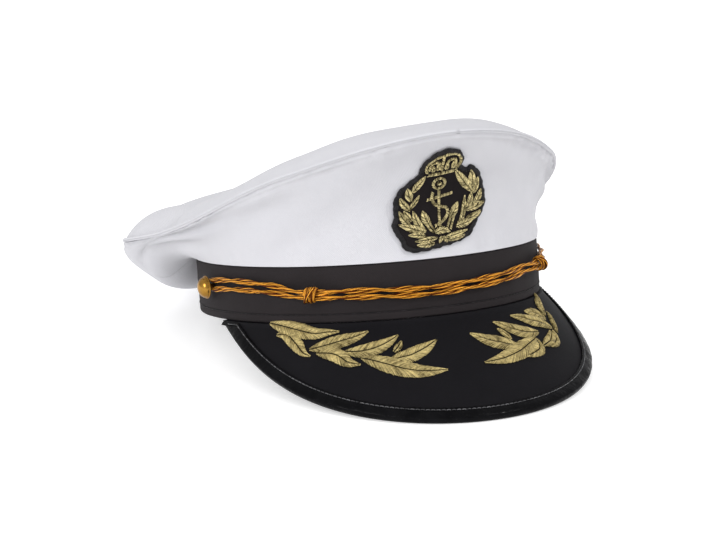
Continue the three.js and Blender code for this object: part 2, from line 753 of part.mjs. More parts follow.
const seamGap = clearance / 2;
const seamTurn = THREE.MathUtils.radToDeg(seamGap / (bandWidth / 2));
addPiece('head_band', headBand(), blackCloth);
addPiece('crown_front_panel', crownSide(-backSeamAngle + seamTurn, backSeamAngle - seamTurn, 32, 9), whiteCloth);
addPiece('crown_back_panel', crownSide(backSeamAngle + seamTurn, 360 - backSeamAngle - seamTurn, 14, 7), whiteCloth);
addPiece('crown_top', crownTop(), whiteCloth);
addPiece('crown_welt', edgeWelt(), whiteCloth);
addPiece('visor', visorPlate(), visorCloth);
addPiece('visor_binding', visorBinding(), blackVinyl);
standOut(addPiece('side_button_right', sideButton(), brass), -buttonAngle, 0, buttonHeight);
standOut(addPiece('side_button_left', sideButton(), brass), buttonAngle, 0, buttonHeight);
addPiece('cord_strand_upper', strand(1), orangeGoldCord);
addPiece('cord_strand_lower', strand(-1), orangeGoldCord);
for (const [name, angle] of Object.entries(knotAngles)) {
  const mesh = addPiece(name, knot(), orangeGoldCord);
  standOut(mesh, angle, cordStandoff(angle), tableValue(cordRoute, 'height', angle));
  mesh.rotation.z += Math.PI / 2;
}
addPiece('badge_backing', badgeBacking(), blackCloth);
addPiece('badge_wreath_right', badgeWreath(-1), paleGoldThread);
addPiece('badge_wreath_left', badgeWreath(1), paleGoldThread);
addPiece('badge_anchor', badgeAnchor(), paleGoldThread);
addPiece('badge_crown', badgeCrown(), paleGoldThread);
addPiece('visor_sprig_right', visorSprig(-1), paleGoldThread);
addPiece('visor_sprig_left', visorSprig(1), paleGoldThread);

// At rest the cap leans back: it stands on the visor's edge and on the back of the band
function restTilt(group) {
  const back = new THREE.Vector3(0, bandLength / 2, 0);
  let tilt = 0;
  group.updateMatrixWorld(true);
  for (const mesh of group.children) {
    const position = mesh.geometry.getAttribute('position');
    for (let i = 0; i < position.count; i++) {
      const point = new THREE.Vector3().fromBufferAttribute(position, i).applyMatrix4(mesh.matrixWorld);
      if (point.y < 0) tilt = Math.max(tilt, Math.atan2(-point.z, back.y - point.y));
    }
  }
  return tilt;
}

cap.rotation.x = -restTilt(cap);
const whole = new THREE.Group();
whole.add(cap);
whole.updateMatrixWorld(true);
const bounds = new THREE.Box3().setFromObject(whole, true);
const middle = bounds.getCenter(new THREE.Vector3());
cap.position.set(-middle.x, -middle.y, -bounds.min.z);

export default whole;
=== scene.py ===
import bpy
import json
import math
import numpy as np
from mathutils import Matrix, Vector


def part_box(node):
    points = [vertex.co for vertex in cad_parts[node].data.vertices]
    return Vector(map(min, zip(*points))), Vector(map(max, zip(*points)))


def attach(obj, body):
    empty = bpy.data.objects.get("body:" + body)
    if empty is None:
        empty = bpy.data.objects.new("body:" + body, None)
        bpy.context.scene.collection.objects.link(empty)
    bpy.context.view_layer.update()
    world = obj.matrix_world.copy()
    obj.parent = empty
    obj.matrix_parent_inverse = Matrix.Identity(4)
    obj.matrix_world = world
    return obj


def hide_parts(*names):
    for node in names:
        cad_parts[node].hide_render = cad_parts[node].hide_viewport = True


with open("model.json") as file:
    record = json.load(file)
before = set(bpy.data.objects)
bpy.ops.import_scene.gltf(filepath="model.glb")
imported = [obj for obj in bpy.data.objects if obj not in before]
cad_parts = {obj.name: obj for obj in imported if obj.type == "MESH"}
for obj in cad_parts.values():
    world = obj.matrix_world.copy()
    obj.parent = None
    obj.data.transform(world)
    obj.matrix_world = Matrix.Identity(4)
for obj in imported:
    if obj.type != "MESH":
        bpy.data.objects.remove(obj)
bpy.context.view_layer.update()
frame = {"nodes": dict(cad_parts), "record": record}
print("frame loaded:", len(frame["nodes"]), "nodes")

# The cap is drawn in millimetres with its band level, front towards -Y,
# then tilted to the way it rests and moved onto the frame.

bandForm = {"width": 180, "length": 201, "height": 28.5, "wall": 2.4}

crownForm = {
    "rise": 64.5,
    "reach": 45,
    "dome": 16.5,
    "flatness": 5.4,
    "cloth": 1.0,
    "overhang": 0.5,
    "seamAngle": 124,
    "seamInset": 1.75,
    "foldDepth": 4.5,
    "foldFade": 4,
    # from the front round to the back, every 45 degrees
    "seamReach": [0.51, 0.276, 0.335, 1.04, 1],
    "seamRise": [0.985, 0.729, 0.319, 0.1, -0.1],
    "footLean": [108, 90, 65, -71, -70],
    "footPull": [0.5, 0.45, 0.29, 0.82, 0.43],
    "rimLean": [-124, -119, -116, -79, -82],
    "rimPull": [0.26, 0.22, 0.12, 0.09, 0.31],
    # angle, place along the cloth, half width, half height, depth
    "folds": [
        (-103, 1.1, 7, 0.16, 0.9),
        (-85, 0.72, 26, 0.16, 0.5),
        (-118, 0.8, 9, 0.25, -0.35),
        (38, 0.8, 16, 0.14, 0.4),
        (96, 0.7, 22, 0.16, 0.45),
        (150, 0.65, 14, 0.2, 0.4),
        (-158, 0.6, 13, 0.2, 0.45),
        (-88, 1.4, 30, 0.22, 0.8),
        (-118, 0.45, 12, 0.2, 0.7),
    ],
}

visorForm = {
    "length": 67,
    "halfAngle": 83,
    "cutAngle": 78.5,
    "taper": 1.28,
    "droop": 41.7,
    "sideDroop": 12,
    "thickness": 2,
    "bindingWidth": 7.3,
    "bindingWall": 0.9,
    "bead": 1.6,
}

gap = 0.3
fullTurn = 2 * math.pi
upward = np.array([0, 0, 1.0])


def sinD(angle):
    return np.sin(np.radians(angle))


def cosD(angle):
    return np.cos(np.radians(angle))


def mixed(a, b, share):
    return a + (b - a) * share


def smooth(low, high, value):
    t = np.clip((value - low) / (high - low), 0, 1)
    return t * t * (3 - 2 * t)


# Distance along a line at each of its points
def arcAlong(points):
    return np.concatenate([[0], np.cumsum(np.linalg.norm(np.diff(points, axis=0), axis=1))])


def throughPoints(p0, p1, p2, p3, t):
    a, b = (p2 - p0) / 2, (p3 - p1) / 2
    return ((2 * t**3 - 3 * t**2 + 1) * p1 + (t**3 - 2 * t**2 + t) * a
            + (3 * t**2 - 2 * t**3) * p2 + (t**3 - t**2) * b)


def crownValue(column, angle):
    rows = np.array(crownForm[column], float)
    rows = np.concatenate([[rows[1]], rows, [rows[3]]])
    place = np.abs(angle) / 45
    row = np.minimum(np.floor(place), 3).astype(int)
    return throughPoints(rows[row], rows[row + 1], rows[row + 2], rows[row + 3], place - row)


def tableValue(table, column, angle):
    angles = np.array([row[0] for row in table], float)
    values = np.array([row[column] for row in table], float)
    values = np.concatenate([[values[0]], values, [values[-1]]])
    row = np.clip(np.searchsorted(angles, angle, "right") - 1, 0, len(angles) - 2)
    share = (angle - angles[row]) / (angles[row + 1] - angles[row])
    return throughPoints(values[row], values[row + 1], values[row + 2], values[row + 3], share)


def wrapped(angle):
    return (np.asarray(angle, float) + 180) % 360 - 180


def bandPoint(angle, outward, height):
    nx, ny = sinD(angle) / bandForm["width"], -cosD(angle) / bandForm["length"]
    size = np.hypot(nx, ny)
    x = bandForm["width"] / 2 * sinD(angle) + outward * nx / size
    y = -bandForm["length"] / 2 * cosD(angle) + outward * ny / size
    return np.stack(np.broadcast_arrays(x, y, height), -1).astype(float)


# Directions outwards from the band and along it
def bandAxes(angle):
    outward = bandPoint(angle, 1, 0) - bandPoint(angle, 0, 0)
    return outward, np.cross(upward, outward)


def foldAt(angle, along):
    depth = 0
    for at, place, wide, tall, deep in crownForm["folds"]:
        depth = depth + crownForm["foldDepth"] * deep * np.exp(
            -((angle - at) / wide) ** 2 - ((along - place) / tall) ** 2)
    return depth


def seamAt(angle):
    out = crownForm["overhang"] + crownForm["reach"] * crownValue("seamReach", angle)
    up = bandForm["height"] + crownForm["rise"] * crownValue("seamRise", angle)
    return out, up


def seamPoint(angle):
    out, up = seamAt(angle)
    return bandPoint(angle, out - foldAt(angle, 1), up)


def sidePoint(angle, share, depth):
    seamOut, seamUp = seamAt(angle)
    footLean, rimLean = crownValue("footLean", angle), crownValue("rimLean", angle)
    footPull = crownForm["rise"] * crownValue("footPull", angle)
    rimPull = crownForm["rise"] * crownValue("rimPull", angle)
    lift = gap + crownForm["cloth"] * np.maximum(0, -cosD(footLean))
    foot = (crownForm["overhang"], bandForm["height"] + lift)
    out = [foot[0] + 0 * seamOut, foot[0] + cosD(footLean) * footPull,
           seamOut + cosD(rimLean) * rimPull, seamOut + cosD(rimLean) * crownForm["seamInset"]]
    up = [foot[1] + 0 * seamOut, foot[1] + sinD(footLean) * footPull,
          seamUp + sinD(rimLean) * rimPull, seamUp + sinD(rimLean) * crownForm["seamInset"]]
    t, s = share, 1 - share

    def at(p):
        return s**3 * p[0] + 3 * s * s * t * p[1] + 3 * s * t * t * p[2] + t**3 * p[3]

    def slope(p):
        return 3 * (s * s * (p[1] - p[0]) + 2 * s * t * (p[2] - p[1]) + t * t * (p[3] - p[2]))

    dx, dy = slope(out), slope(up)
    size = np.hypot(dx, dy)
    inward = depth + foldAt(angle, share) * np.minimum(1, share * crownForm["foldFade"])
    return bandPoint(angle, at(out) - dy / size * inward, at(up) + dx / size * inward)


def topPoint(angle, share, depth):
    middle = (seamPoint(0.0) + seamPoint(180.0)) / 2
    seam = seamPoint(angle)
    reach = np.linalg.norm(seam - middle, axis=-1)
    out = share * (1 - crownForm["seamInset"] / reach)
    point = middle + (seam - middle) * out[..., None]
    dome, flat = crownForm["dome"], crownForm["flatness"]
    rim = np.arctan2(dome * flat * out ** (flat - 1), reach)
    folded = foldAt(angle, 2 - out) * np.minimum(1, out * crownForm["foldFade"])
    point[..., 2] += dome * (1 - out**flat) - folded - depth / np.cos(rim)
    return point


def visorReach(angle):
    turn = 90 * angle / visorForm["halfAngle"]
    return visorForm["length"] * np.maximum(0, cosD(turn)) ** visorForm["taper"]


def visorSlope(angle):
    return visorForm["droop"] + visorForm["sideDroop"] * sinD(angle) ** 2


def slopedPoint(angle, out, up, slope):
    middle = -gap - visorForm["thickness"] / 2
    ahead, down = cosD(slope), sinD(slope)
    return bandPoint(angle, out * ahead + up * down, middle - out * down + up * ahead)


def visorPoint(angle, out, up):
    return slopedPoint(angle, out, up, np.where(out > 0, visorSlope(angle), 0))


# Where a point of the visor's flat pattern comes to lie
def patternPoint(x, y, z):
    patternRadius = (bandForm["width"] + bandForm["length"]) / 4 / cosD(visorForm["droop"])
    radius = np.hypot(x, y + patternRadius)
    angle = np.degrees(np.arctan2(x, y + patternRadius)) / cosD(visorForm["droop"])
    return slopedPoint(angle, radius - patternRadius, visorForm["thickness"] / 2 + z, visorSlope(angle))


panelShares = np.linspace(0, 1, 241)
panelLine = sidePoint(0 * panelShares, panelShares, 0)
panelArc = arcAlong(panelLine)


# Where a point of the front panel comes to lie, across from its middle and up from its foot
def panelPoint(x, y, z):
    x, y, z = [np.asarray(v, float) for v in np.broadcast_arrays(x, y, z)]
    lineY = np.interp(y, panelArc, panelLine[:, 1])
    lineZ = np.interp(y, panelArc, panelLine[:, 2])
    angle = np.degrees(np.arcsin(x / (bandForm["width"] / 2 * -lineY / (bandForm["length"] / 2))))
    low, high = np.zeros_like(x), np.ones_like(x)
    for _ in range(22):
        share = (low + high) / 2
        under = sidePoint(angle, share, 0)[..., 2] < lineZ
        low, high = np.where(under, share, low), np.where(under, high, share)
    return sidePoint(angle, low, -z)


# Where the level cap stands in the frame
restAxis = frame["record"]["mounts"][0]["axis"]
tilt = math.atan2(-restAxis[1], -restAxis[2])
bandLow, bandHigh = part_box("head_band")
capOrigin = np.array([
    (bandLow.x + bandHigh.x) / 2,
    bandLow.y + bandForm["length"] / 2000 * math.cos(tilt),
    bandLow.z + bandForm["length"] / 2000 * math.sin(tilt),
])


def placed(points):
    x, y, z = np.moveaxis(np.asarray(points, float), -1, 0)
    ahead, down = math.cos(tilt), math.sin(tilt)
    return np.stack([x, y * ahead + z * down, z * ahead - y * down], -1) / 1000 + capOrigin


# Smooth wavy noise from a few fixed sines, for cloth that is never quite even
def waves(a, b, seed, scale, count=9):
    rng = np.random.default_rng(seed)
    total = 0
    for _ in range(count):
        turn, size, shift = rng.uniform(0, fullTurn), rng.uniform(0.6, 1.7) / scale, rng.uniform(0, 6.28)
        total = total + np.sin(fullTurn * size * (a * math.cos(turn) + b * math.sin(turn)) + shift)
    return total / math.sqrt(count)


# Adds a node: inputs that are values get linked, all others are set
def addNode(tree, kind, settings=None, inputs=None, output=0):
    node = tree.nodes.new(kind)
    for key, item in (settings or {}).items():
        setattr(node, key, item)
    for key, item in (inputs or {}).items():
        if isinstance(item, Value):
            tree.links.new(item.socket, node.inputs[key])
        else:
            node.inputs[key].default_value = item
    return Value(tree, node.outputs[output])


class Value:
    def __init__(self, tree, socket):
        self.tree, self.socket = tree, socket

    def math(self, operation, *items):
        return addNode(self.tree, "ShaderNodeMath", {"operation": operation}, dict(enumerate(items)))

    def __add__(self, other): return self.math("ADD", self, other)
    def __radd__(self, other): return self.math("ADD", other, self)
    def __sub__(self, other): return self.math("SUBTRACT", self, other)
    def __rsub__(self, other): return self.math("SUBTRACT", other, self)
    def __mul__(self, other): return self.math("MULTIPLY", self, other)
    def __rmul__(self, other): return self.math("MULTIPLY", other, self)
    def __truediv__(self, other): return self.math("DIVIDE", self, other)
    def sin(self): return self.math("SINE", self)
    def cos(self): return self.math("COSINE", self)
    def floor(self): return self.math("FLOOR", self)


class Finish:
    def __init__(self, name, sockets=None):
        self.material = bpy.data.materials.new(name)
        self.material.use_nodes = True
        self.tree = self.material.node_tree
        self.shader = self.tree.nodes["Principled BSDF"]
        for socket, value in (sockets or {}).items():
            self.shader.inputs[socket].default_value = value

    def node(self, kind, settings=None, inputs=None, output=0):
        return addNode(self.tree, kind, settings, inputs, output)

    def place(self):
        return self.node("ShaderNodeTexCoord", output="Object")

    def clothPlace(self):
        cloth = self.node("ShaderNodeTexCoord", output="UV")
        split = self.node("ShaderNodeSeparateXYZ", None, {0: cloth}).socket.node
        return Value(self.tree, split.outputs[0]), Value(self.tree, split.outputs[1])

    def noise(self, vector, scale, detail=3.0, roughness=0.5):
        return self.node("ShaderNodeTexNoise", None, {
            "Vector": vector, "Scale": scale, "Detail": detail, "Roughness": roughness}, "Fac")

    def colours(self, share, first, second):
        return self.node("ShaderNodeMix", {"data_type": "RGBA"}, {
            0: share, 6: (*first, 1), 7: (*second, 1)}, 2)

    def bump(self, height, distance, strength):
        self.feed("Normal", self.node("ShaderNodeBump", None, {
            "Height": height, "Distance": distance, "Strength": strength}))

    def feed(self, socket, value):
        self.tree.links.new(value.socket, self.shader.inputs[socket])


# Mesh help
def makeMesh(name, points, faces, finish, uv=None, inFrame=False, sharp=50):
    mesh = bpy.data.meshes.new(name)
    corners = np.asarray(points, float) if inFrame else placed(points)
    mesh.from_pydata(corners.tolist(), [], [tuple(int(i) for i in face) for face in faces])
    if uv is not None:
        layer = mesh.uv_layers.new(name="cloth")
        loops = np.zeros(len(mesh.loops), int)
        mesh.loops.foreach_get("vertex_index", loops)
        layer.data.foreach_set("uv", np.asarray(uv, float)[loops].ravel())
    mesh.polygons.foreach_set("use_smooth", [True] * len(mesh.polygons))
    mesh.validate()
    mesh.set_sharp_from_angle(angle=math.radians(sharp))
    piece = bpy.data.objects.new(name, mesh)
    bpy.context.scene.collection.objects.link(piece)
    mesh.materials.append(finish.material)
    return piece


def outwards(points, faces):
    points = np.asarray(points, float)
    first, second, third = np.array([(face[0], face[i], face[i + 1])
                                     for face in faces for i in range(1, len(face) - 1)]).T
    volume = np.sum(points[first] * np.cross(points[second], points[third]))
    return faces if volume > 0 else [tuple(reversed(face)) for face in faces]


# Shell between an outer and an inner face, each given by a function of two shares and a depth
def shell(name, columns, rows, surface, thickness, finish, uv, looped=False, domed=False):
    around = np.arange(columns if looped else columns + 1) / columns
    u, v = np.meshgrid(around, np.arange(rows + 1) / rows, indexing="ij")
    layers = [surface(u, v, 0.0), surface(u, v, thickness)]
    points = np.concatenate([layer.reshape(-1, 3) for layer in layers])
    flat = uv(u, v).reshape(-1, 2)
    uvs = np.concatenate([flat, flat])
    size = len(flat)
    n = len(around)

    def number(i, j, side):
        return side * size + (i % n) * (rows + 1) + j

    faces = []
    for i in range(columns):
        for j in range(rows):
            if domed and j == 0:
                faces.append((number(i, 1, 0), number(i + 1, 1, 0), number(0, 0, 0)))
                faces.append((number(i + 1, 1, 1), number(i, 1, 1), number(0, 0, 1)))
                continue
            faces.append((number(i, j, 0), number(i + 1, j, 0), number(i + 1, j + 1, 0), number(i, j + 1, 0)))
            faces.append((number(i, j, 1), number(i, j + 1, 1), number(i + 1, j + 1, 1), number(i + 1, j, 1)))
        if not domed:
            faces.append((number(i, 0, 0), number(i, 0, 1), number(i + 1, 0, 1), number(i + 1, 0, 0)))
        faces.append((number(i, rows, 0), number(i + 1, rows, 0), number(i + 1, rows, 1), number(i, rows, 1)))
    if not looped:
        for j in range(rows):
            faces.append((number(0, j, 0), number(0, j + 1, 0), number(0, j + 1, 1), number(0, j, 1)))
            faces.append((number(columns, j, 0), number(columns, j, 1),
                          number(columns, j + 1, 1), number(columns, j + 1, 0)))
    used = sorted({i for face in faces for i in face})
    where = {old: new for new, old in enumerate(used)}
    faces = [tuple(where[i] for i in face) for face in faces]
    points, uvs = points[used], uvs[used]
    return makeMesh(name, points, outwards(points, faces), finish, uvs)


# Faces of a section swept along stations
def sweptFaces(stations, corners, looped=False):
    faces = []
    for i in range(stations if looped else stations - 1):
        after = (i + 1) % stations
        for k in range(corners):
            side = (k + 1) % corners
            faces.append((i * corners + k, i * corners + side, after * corners + side, after * corners + k))
    if not looped:
        faces.append(tuple(range(corners))[::-1])
        faces.append(tuple((stations - 1) * corners + k for k in range(corners)))
    return faces


# Piece from an array of sections: stations, corners and three coordinates
def sweep(name, sections, finish, uv=None, looped=False, sharp=50):
    points = sections.reshape(-1, 3)
    faces = outwards(points, sweptFaces(*sections.shape[:2], looped))
    return makeMesh(name, points, faces, finish, uv, sharp=sharp)


def finished(piece, slot, *replaced):
    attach(piece, "root")
    if replaced:
        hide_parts(*replaced)
    return piece


# Camera, floor and light
viewForm = {"azimuth": -24.076, "elevation": 15.926, "roll": 0.283, "distance": 1200, "focal": 2215.2,
            "shiftX": 5.835, "shiftY": -15.007, "photoWidth": 716, "sensor": 36}


def buildView():
    a, e = math.radians(viewForm["azimuth"]), math.radians(viewForm["elevation"])
    back = Vector((math.sin(a) * math.cos(e), -math.cos(a) * math.cos(e), math.sin(e)))
    side = Vector((math.cos(a), math.sin(a), 0))
    up = back.cross(side)
    r = math.radians(viewForm["roll"])
    side, up = side * math.cos(r) + up * math.sin(r), up * math.cos(r) - side * math.sin(r)
    target = Vector(capOrigin)
    place = target + back * viewForm["distance"] / 1000
    place = place - side * viewForm["shiftX"] / 1000 - up * viewForm["shiftY"] / 1000
    camera = bpy.data.cameras.new("photoCamera")
    camera.sensor_width = viewForm["sensor"]
    camera.lens = viewForm["focal"] / viewForm["photoWidth"] * viewForm["sensor"]
    camera.clip_end = 20
    holder = bpy.data.objects.new("photoCamera", camera)
    holder.matrix_world = Matrix([[side[i], up[i], back[i], place[i]] for i in range(3)] + [[0, 0, 0, 1]])
    bpy.context.scene.collection.objects.link(holder)
    bpy.context.scene.camera = holder


studioForm = {
    "world": 0.82,
    "floorReach": 4,
    "floorTone": 0.82,
    "floorGlow": 0.43,
    "aim": (0, 0, 0.05),
    # place, size and power
    "lights": {
        "keyLight": ((0.9, -1.1, 1.5), 0.16, 10),
        "fillLight": ((-1.5, -0.7, 0.8), 0.9, 13),
        "backLight": ((0.2, 1.6, 1.4), 1.0, 1.5),
    },
}


def softLight(name, place, size, power):
    light = bpy.data.lights.new(name, "AREA")
    light.shape, light.size, light.energy = "DISK", size, power
    lamp = bpy.data.objects.new(name, light)
    lamp.location = place
    lamp.rotation_euler = (Vector(studioForm["aim"]) - Vector(place)).to_track_quat("-Z", "Y").to_euler()
    bpy.context.scene.collection.objects.link(lamp)


def buildStudio():
    scene = bpy.context.scene
    scene.view_settings.view_transform = "Standard"
    scene.world = bpy.data.worlds.new("paleRoom")
    scene.world.use_nodes = True
    background = scene.world.node_tree.nodes["Background"]
    background.inputs[0].default_value = (1, 1, 1, 1)
    background.inputs[1].default_value = studioForm["world"]
    tone, reach = studioForm["floorTone"], studioForm["floorReach"]
    finish = Finish("paleFloor", {
        "Roughness": 0.9, "Base Color": (tone, tone, tone, 1),
        "Emission Color": (1, 1, 1, 1), "Emission Strength": studioForm["floorGlow"]})
    corners = [(-reach, -reach, 0), (reach, -reach, 0), (reach, reach, 0), (-reach, reach, 0)]
    makeMesh("floor", corners, [(0, 1, 2, 3)], finish, inFrame=True)
    for name, (place, size, power) in studioForm["lights"].items():
        softLight(name, place, size, power)


buildView()
buildStudio()
print("camera, floor and light set")


# Finishes
def makeWhiteCloth():
    finish = Finish("whiteCrownCloth", {"Roughness": 0.85, "Sheen Weight": 0.15, "Specular IOR Level": 0.15})
    u, v = finish.clothPlace()
    pitch = 0.95
    threads = (u * (fullTurn / pitch)).sin() * (v * (fullTurn / pitch)).sin()
    place = finish.place()
    soft = finish.noise(place, 60, 4, 0.6)
    slub = finish.noise(place, 900, 2, 0.6)
    tone = soft * 0.5 + slub * 0.25 + threads * 0.5 + 0.08
    finish.feed("Base Color", finish.colours(tone, (0.53, 0.53, 0.565), (0.65, 0.645, 0.675)))
    finish.bump(threads * 0.5 + slub * 0.6, 0.0002, 0.8)
    return finish


def makeTwill(name, dark, light, rough, shine, pitch=0.85):
    finish = Finish(name, {"Specular IOR Level": shine})
    u, v = finish.clothPlace()
    rib = ((u + v) * (fullTurn / pitch)).sin()
    place = finish.place()
    fuzz = finish.noise(place, 1400, 2, 0.6)
    cloud = finish.noise(place, 45, 3, 0.5)
    finish.feed("Base Color", finish.colours(rib * 0.22 + fuzz * 0.5 + cloud * 0.25, dark, light))
    finish.feed("Roughness", fuzz * 0.15 + rough)
    finish.bump(rib * 0.5 + fuzz * 0.7, 0.00012, 0.55)
    return finish


def makeBrass():
    finish = Finish("polishedBrass", {"Metallic": 1.0})
    place = finish.place()
    cloud = finish.noise(place, 240, 4, 0.6)
    fine = finish.noise(place, 1600, 2, 0.5)
    finish.feed("Base Color", finish.colours(cloud, (0.2, 0.09, 0.01), (0.5, 0.28, 0.06)))
    finish.feed("Roughness", cloud * 0.16 + fine * 0.08 + 0.12)
    finish.bump(fine, 0.00004, 0.3)
    return finish


def makePatent():
    finish = Finish("glossyBinding", {"Specular IOR Level": 0.02, "Coat Roughness": 0.08})
    place = finish.place()
    cloud = finish.noise(place, 110, 3, 0.5)
    crinkle = finish.noise(place, 420, 3, 0.6)
    finish.feed("Base Color", finish.colours(cloud, (0.001, 0.001, 0.0013), (0.006, 0.006, 0.007)))
    finish.feed("Roughness", crinkle * 0.2 + 0.1)
    finish.feed("Coat Weight", cloud * 0.1)
    finish.bump(crinkle, 0.0009, 0.6)
    return finish


# Mottle: shares of the thread's own tone, of its strands and of wide clouds, then an offset; the wide span
# from dark to light is partly real thread tone and partly painted highlight and shade
def makeThread(name, dark, light, metal, rough, mottle=(0.5, 1.15, 0.6, -0.69)):
    finish = Finish(name, {"Metallic": metal, "Specular IOR Level": 0.2})
    place = finish.place()
    strand = finish.noise(place, 800, 3, 0.7)
    cloud = finish.noise(place, 90, 3, 0.6)
    own = finish.node("ShaderNodeAttribute", {"attribute_name": "tone"}, output="Fac")
    # base colour: partly real thread tone, partly painted highlight and shade
    finish.feed("Base Color", finish.colours(
        own * mottle[0] + strand * mottle[1] + cloud * mottle[2] + mottle[3], dark, light))
    finish.feed("Roughness", cloud * 0.2 + rough)
    finish.bump(strand, 0.0001, 0.5)
    return finish


whiteCloth = makeWhiteCloth()
bandTwill = makeTwill("blackBandTwill", (0.01, 0.0085, 0.009), (0.034, 0.028, 0.03), 0.7, 0.12)
visorCloth = makeTwill("visorCloth", (0.003, 0.003, 0.0036), (0.013, 0.012, 0.015), 0.55, 0.06, 0.8)
badgeFelt = makeTwill("badgeFelt", (0.006, 0.005, 0.0055), (0.022, 0.018, 0.019), 0.8, 0.08, 0.6)
brass = makeBrass()
patent = makePatent()
# gold cord: per-filament dark and light tones are partly painted shade between filaments and painted
# highlights
goldCord = makeThread("goldCord", (0.1, 0.018, 0.001), (0.94, 0.43, 0.045), 0.5, 0.2, (1.6, 0.8, 0.5, -1.05))
# gold threads of sprigs and badge: their mottle is partly real tone and partly painted highlight and shade
goldThread = makeThread("paleGoldThread", (0.07, 0.048, 0.012), (0.85, 0.69, 0.3), 0.2, 0.34)
badgeThread = makeThread("badgeGoldThread", (0.05, 0.035, 0.008), (1, 0.86, 0.45), 0.2, 0.34,
                         (0.8, 1.7, 0.5, -1.0))
# dark finish of the padding under the stitches: painted shade for the gaps and midribs between them
threadShadow = makeThread("paintedStitchGapShade", (0.01, 0.008, 0.004), (0.035, 0.03, 0.012), 0.0, 0.7)
blackThread = makeThread("blackStitching", (0.004, 0.004, 0.0045), (0.03, 0.027, 0.029), 0.0, 0.4)
# black stitching on the binding whose lighter grey tones are painted glints
bindingThread = makeThread("bindingStitchingPaintedGlints", (0.004, 0.004, 0.004), (0.2, 0.2, 0.21), 0.0, 0.25)
print("finishes made")

# Crown
crownDetail = {
    "columns": 300,
    "rows": 70,
    "backColumns": 120,
    "topColumns": 260,
    "topRows": 64,
    "seamPucker": 0.5,
    "puckerReach": 0.11,
    "allowance": 0.55,
    "puffOut": 3.0,
    "puffUp": 2.2,
    "puffWidth": 0.24,
    "rimPucker": 0.3,
    "topWave": 0.7,
    "footPucker": 0.3,
    "softWave": 0.8,
    "seamTuck": 0.8,
    # radii that turn angles into lengths along the cloth
    "sideRadius": 100,
    "topRadius": 110,
    "topClothRadius": 120,
    "clothHeight": 75,
    "weltTouch": 1.25,
}


def clothLength(angle, share):
    return bandForm["length"] / 2 * np.radians(angle), share * crownDetail["clothHeight"]


# Small unevenness of the side wall, outwards: puckers at its seams and slow waves between them
def sideUnevenness(angle, share):
    arc = np.radians(angle) * crownDetail["sideRadius"]
    atSeam = np.exp(-((1 - share) / crownDetail["puckerReach"]) ** 1.5)
    atFoot = np.exp(-((share - 0.05) / 0.05) ** 2)
    between = smooth(0, 0.2, share) * smooth(1, 0.85, share)
    pucker = waves(arc, share * 8, 3, 9) * crownDetail["seamPucker"] * atSeam
    foot = waves(arc, share * 5, 5, 12) * crownDetail["footPucker"] * atFoot
    slow = waves(arc, share * 70, 11, 44) * crownDetail["softWave"] * between
    allowance = crownDetail["allowance"] * np.exp(-((share - 0.955) / 0.03) ** 2)
    return pucker + foot + slow + allowance


# One at an upright seam and nothing away from it, at about 1.9 mm a degree
def nearSeam(angle, edges):
    away = np.minimum.reduce([np.abs(angle - edge) for edge in edges])
    return np.exp(-((away * 1.9 / 1.6) ** 1.6))


def crownWall(name, start, end, columns):
    def surface(u, v, depth):
        angle = mixed(start, end, u)
        raised = sideUnevenness(wrapped(angle), v) - crownDetail["seamTuck"] * nearSeam(angle, (start, end))
        return sidePoint(wrapped(angle), v, depth - raised)

    def uv(u, v):
        return np.stack(clothLength(mixed(start, end, u), v), -1)

    return shell(name, columns, crownDetail["rows"], surface, crownForm["cloth"], whiteCloth, uv)


def buildCrown():
    crownForm["seamInset"] = crownDetail["weltTouch"]
    turn = math.degrees(gap / 2 / (bandForm["width"] / 2))
    seam = crownForm["seamAngle"]
    finished(crownWall("crownFrontPanel", -seam + turn, seam - turn, crownDetail["columns"]),
             "crown_cloth", "crown_front_panel")
    finished(crownWall("crownBackPanel", seam + turn, 360 - seam - turn, crownDetail["backColumns"]),
             "crown_cloth", "crown_back_panel")

    def topSurface(u, v, depth):
        angle = wrapped(360 * u)
        share = np.sqrt(v)
        radius = crownDetail["topRadius"]
        arc = np.radians(angle) * radius
        rimPucker = waves(arc, v * 8, 7, 9) * crownDetail["rimPucker"] * np.exp(-((1 - share) / 0.05) ** 1.5)
        x, y = share * sinD(angle) * radius, share * cosD(angle) * radius
        slow = waves(x, y, 21, 60) * crownDetail["topWave"] * smooth(1, 0.85, share)
        # the top's cloth puffs out over its edge seam, most at the back corners
        corner = mixed(0.35, 1, smooth(60, 125, np.abs(angle)))
        swell = np.sin(math.pi * np.clip((1 - share) / crownDetail["puffWidth"], 0, 1)) * corner
        puffed = topPoint(angle, share, depth - rimPucker - slow)
        puffed += bandAxes(angle)[0] * (crownDetail["puffOut"] * swell)[..., None]
        puffed[..., 2] += crownDetail["puffUp"] * swell
        return puffed

    def topUv(u, v):
        radius = np.sqrt(v) * crownDetail["topClothRadius"]
        return np.stack([radius * sinD(360 * u), radius * cosD(360 * u)], -1)

    top = shell("crownTop", crownDetail["topColumns"], crownDetail["topRows"], topSurface,
                crownForm["cloth"], whiteCloth, topUv, looped=True, domed=True)
    finished(top, "crown_cloth", "crown_top")


# Round sections along a closed line of points
def tubeSections(line, radius, corners):
    ahead = np.roll(line, -1, 0) - np.roll(line, 1, 0)
    ahead /= np.linalg.norm(ahead, axis=1)[:, None]
    side = np.cross(ahead, upward)
    side /= np.linalg.norm(side, axis=1)[:, None]
    up = np.cross(side, ahead)
    turn = np.arange(corners) * fullTurn / corners
    ring = side[:, None] * np.cos(turn)[None, :, None] + up[:, None] * np.sin(turn)[None, :, None]
    return line[:, None] + ring * radius[:, None, None]


weltForm = {"stations": 540, "corners": 12, "radius": 1.2, "unevenness": 0.07, "rib": 0.05, "ribPitch": 2.6,
            "arcRadius": 120, "clothAround": 7.5}


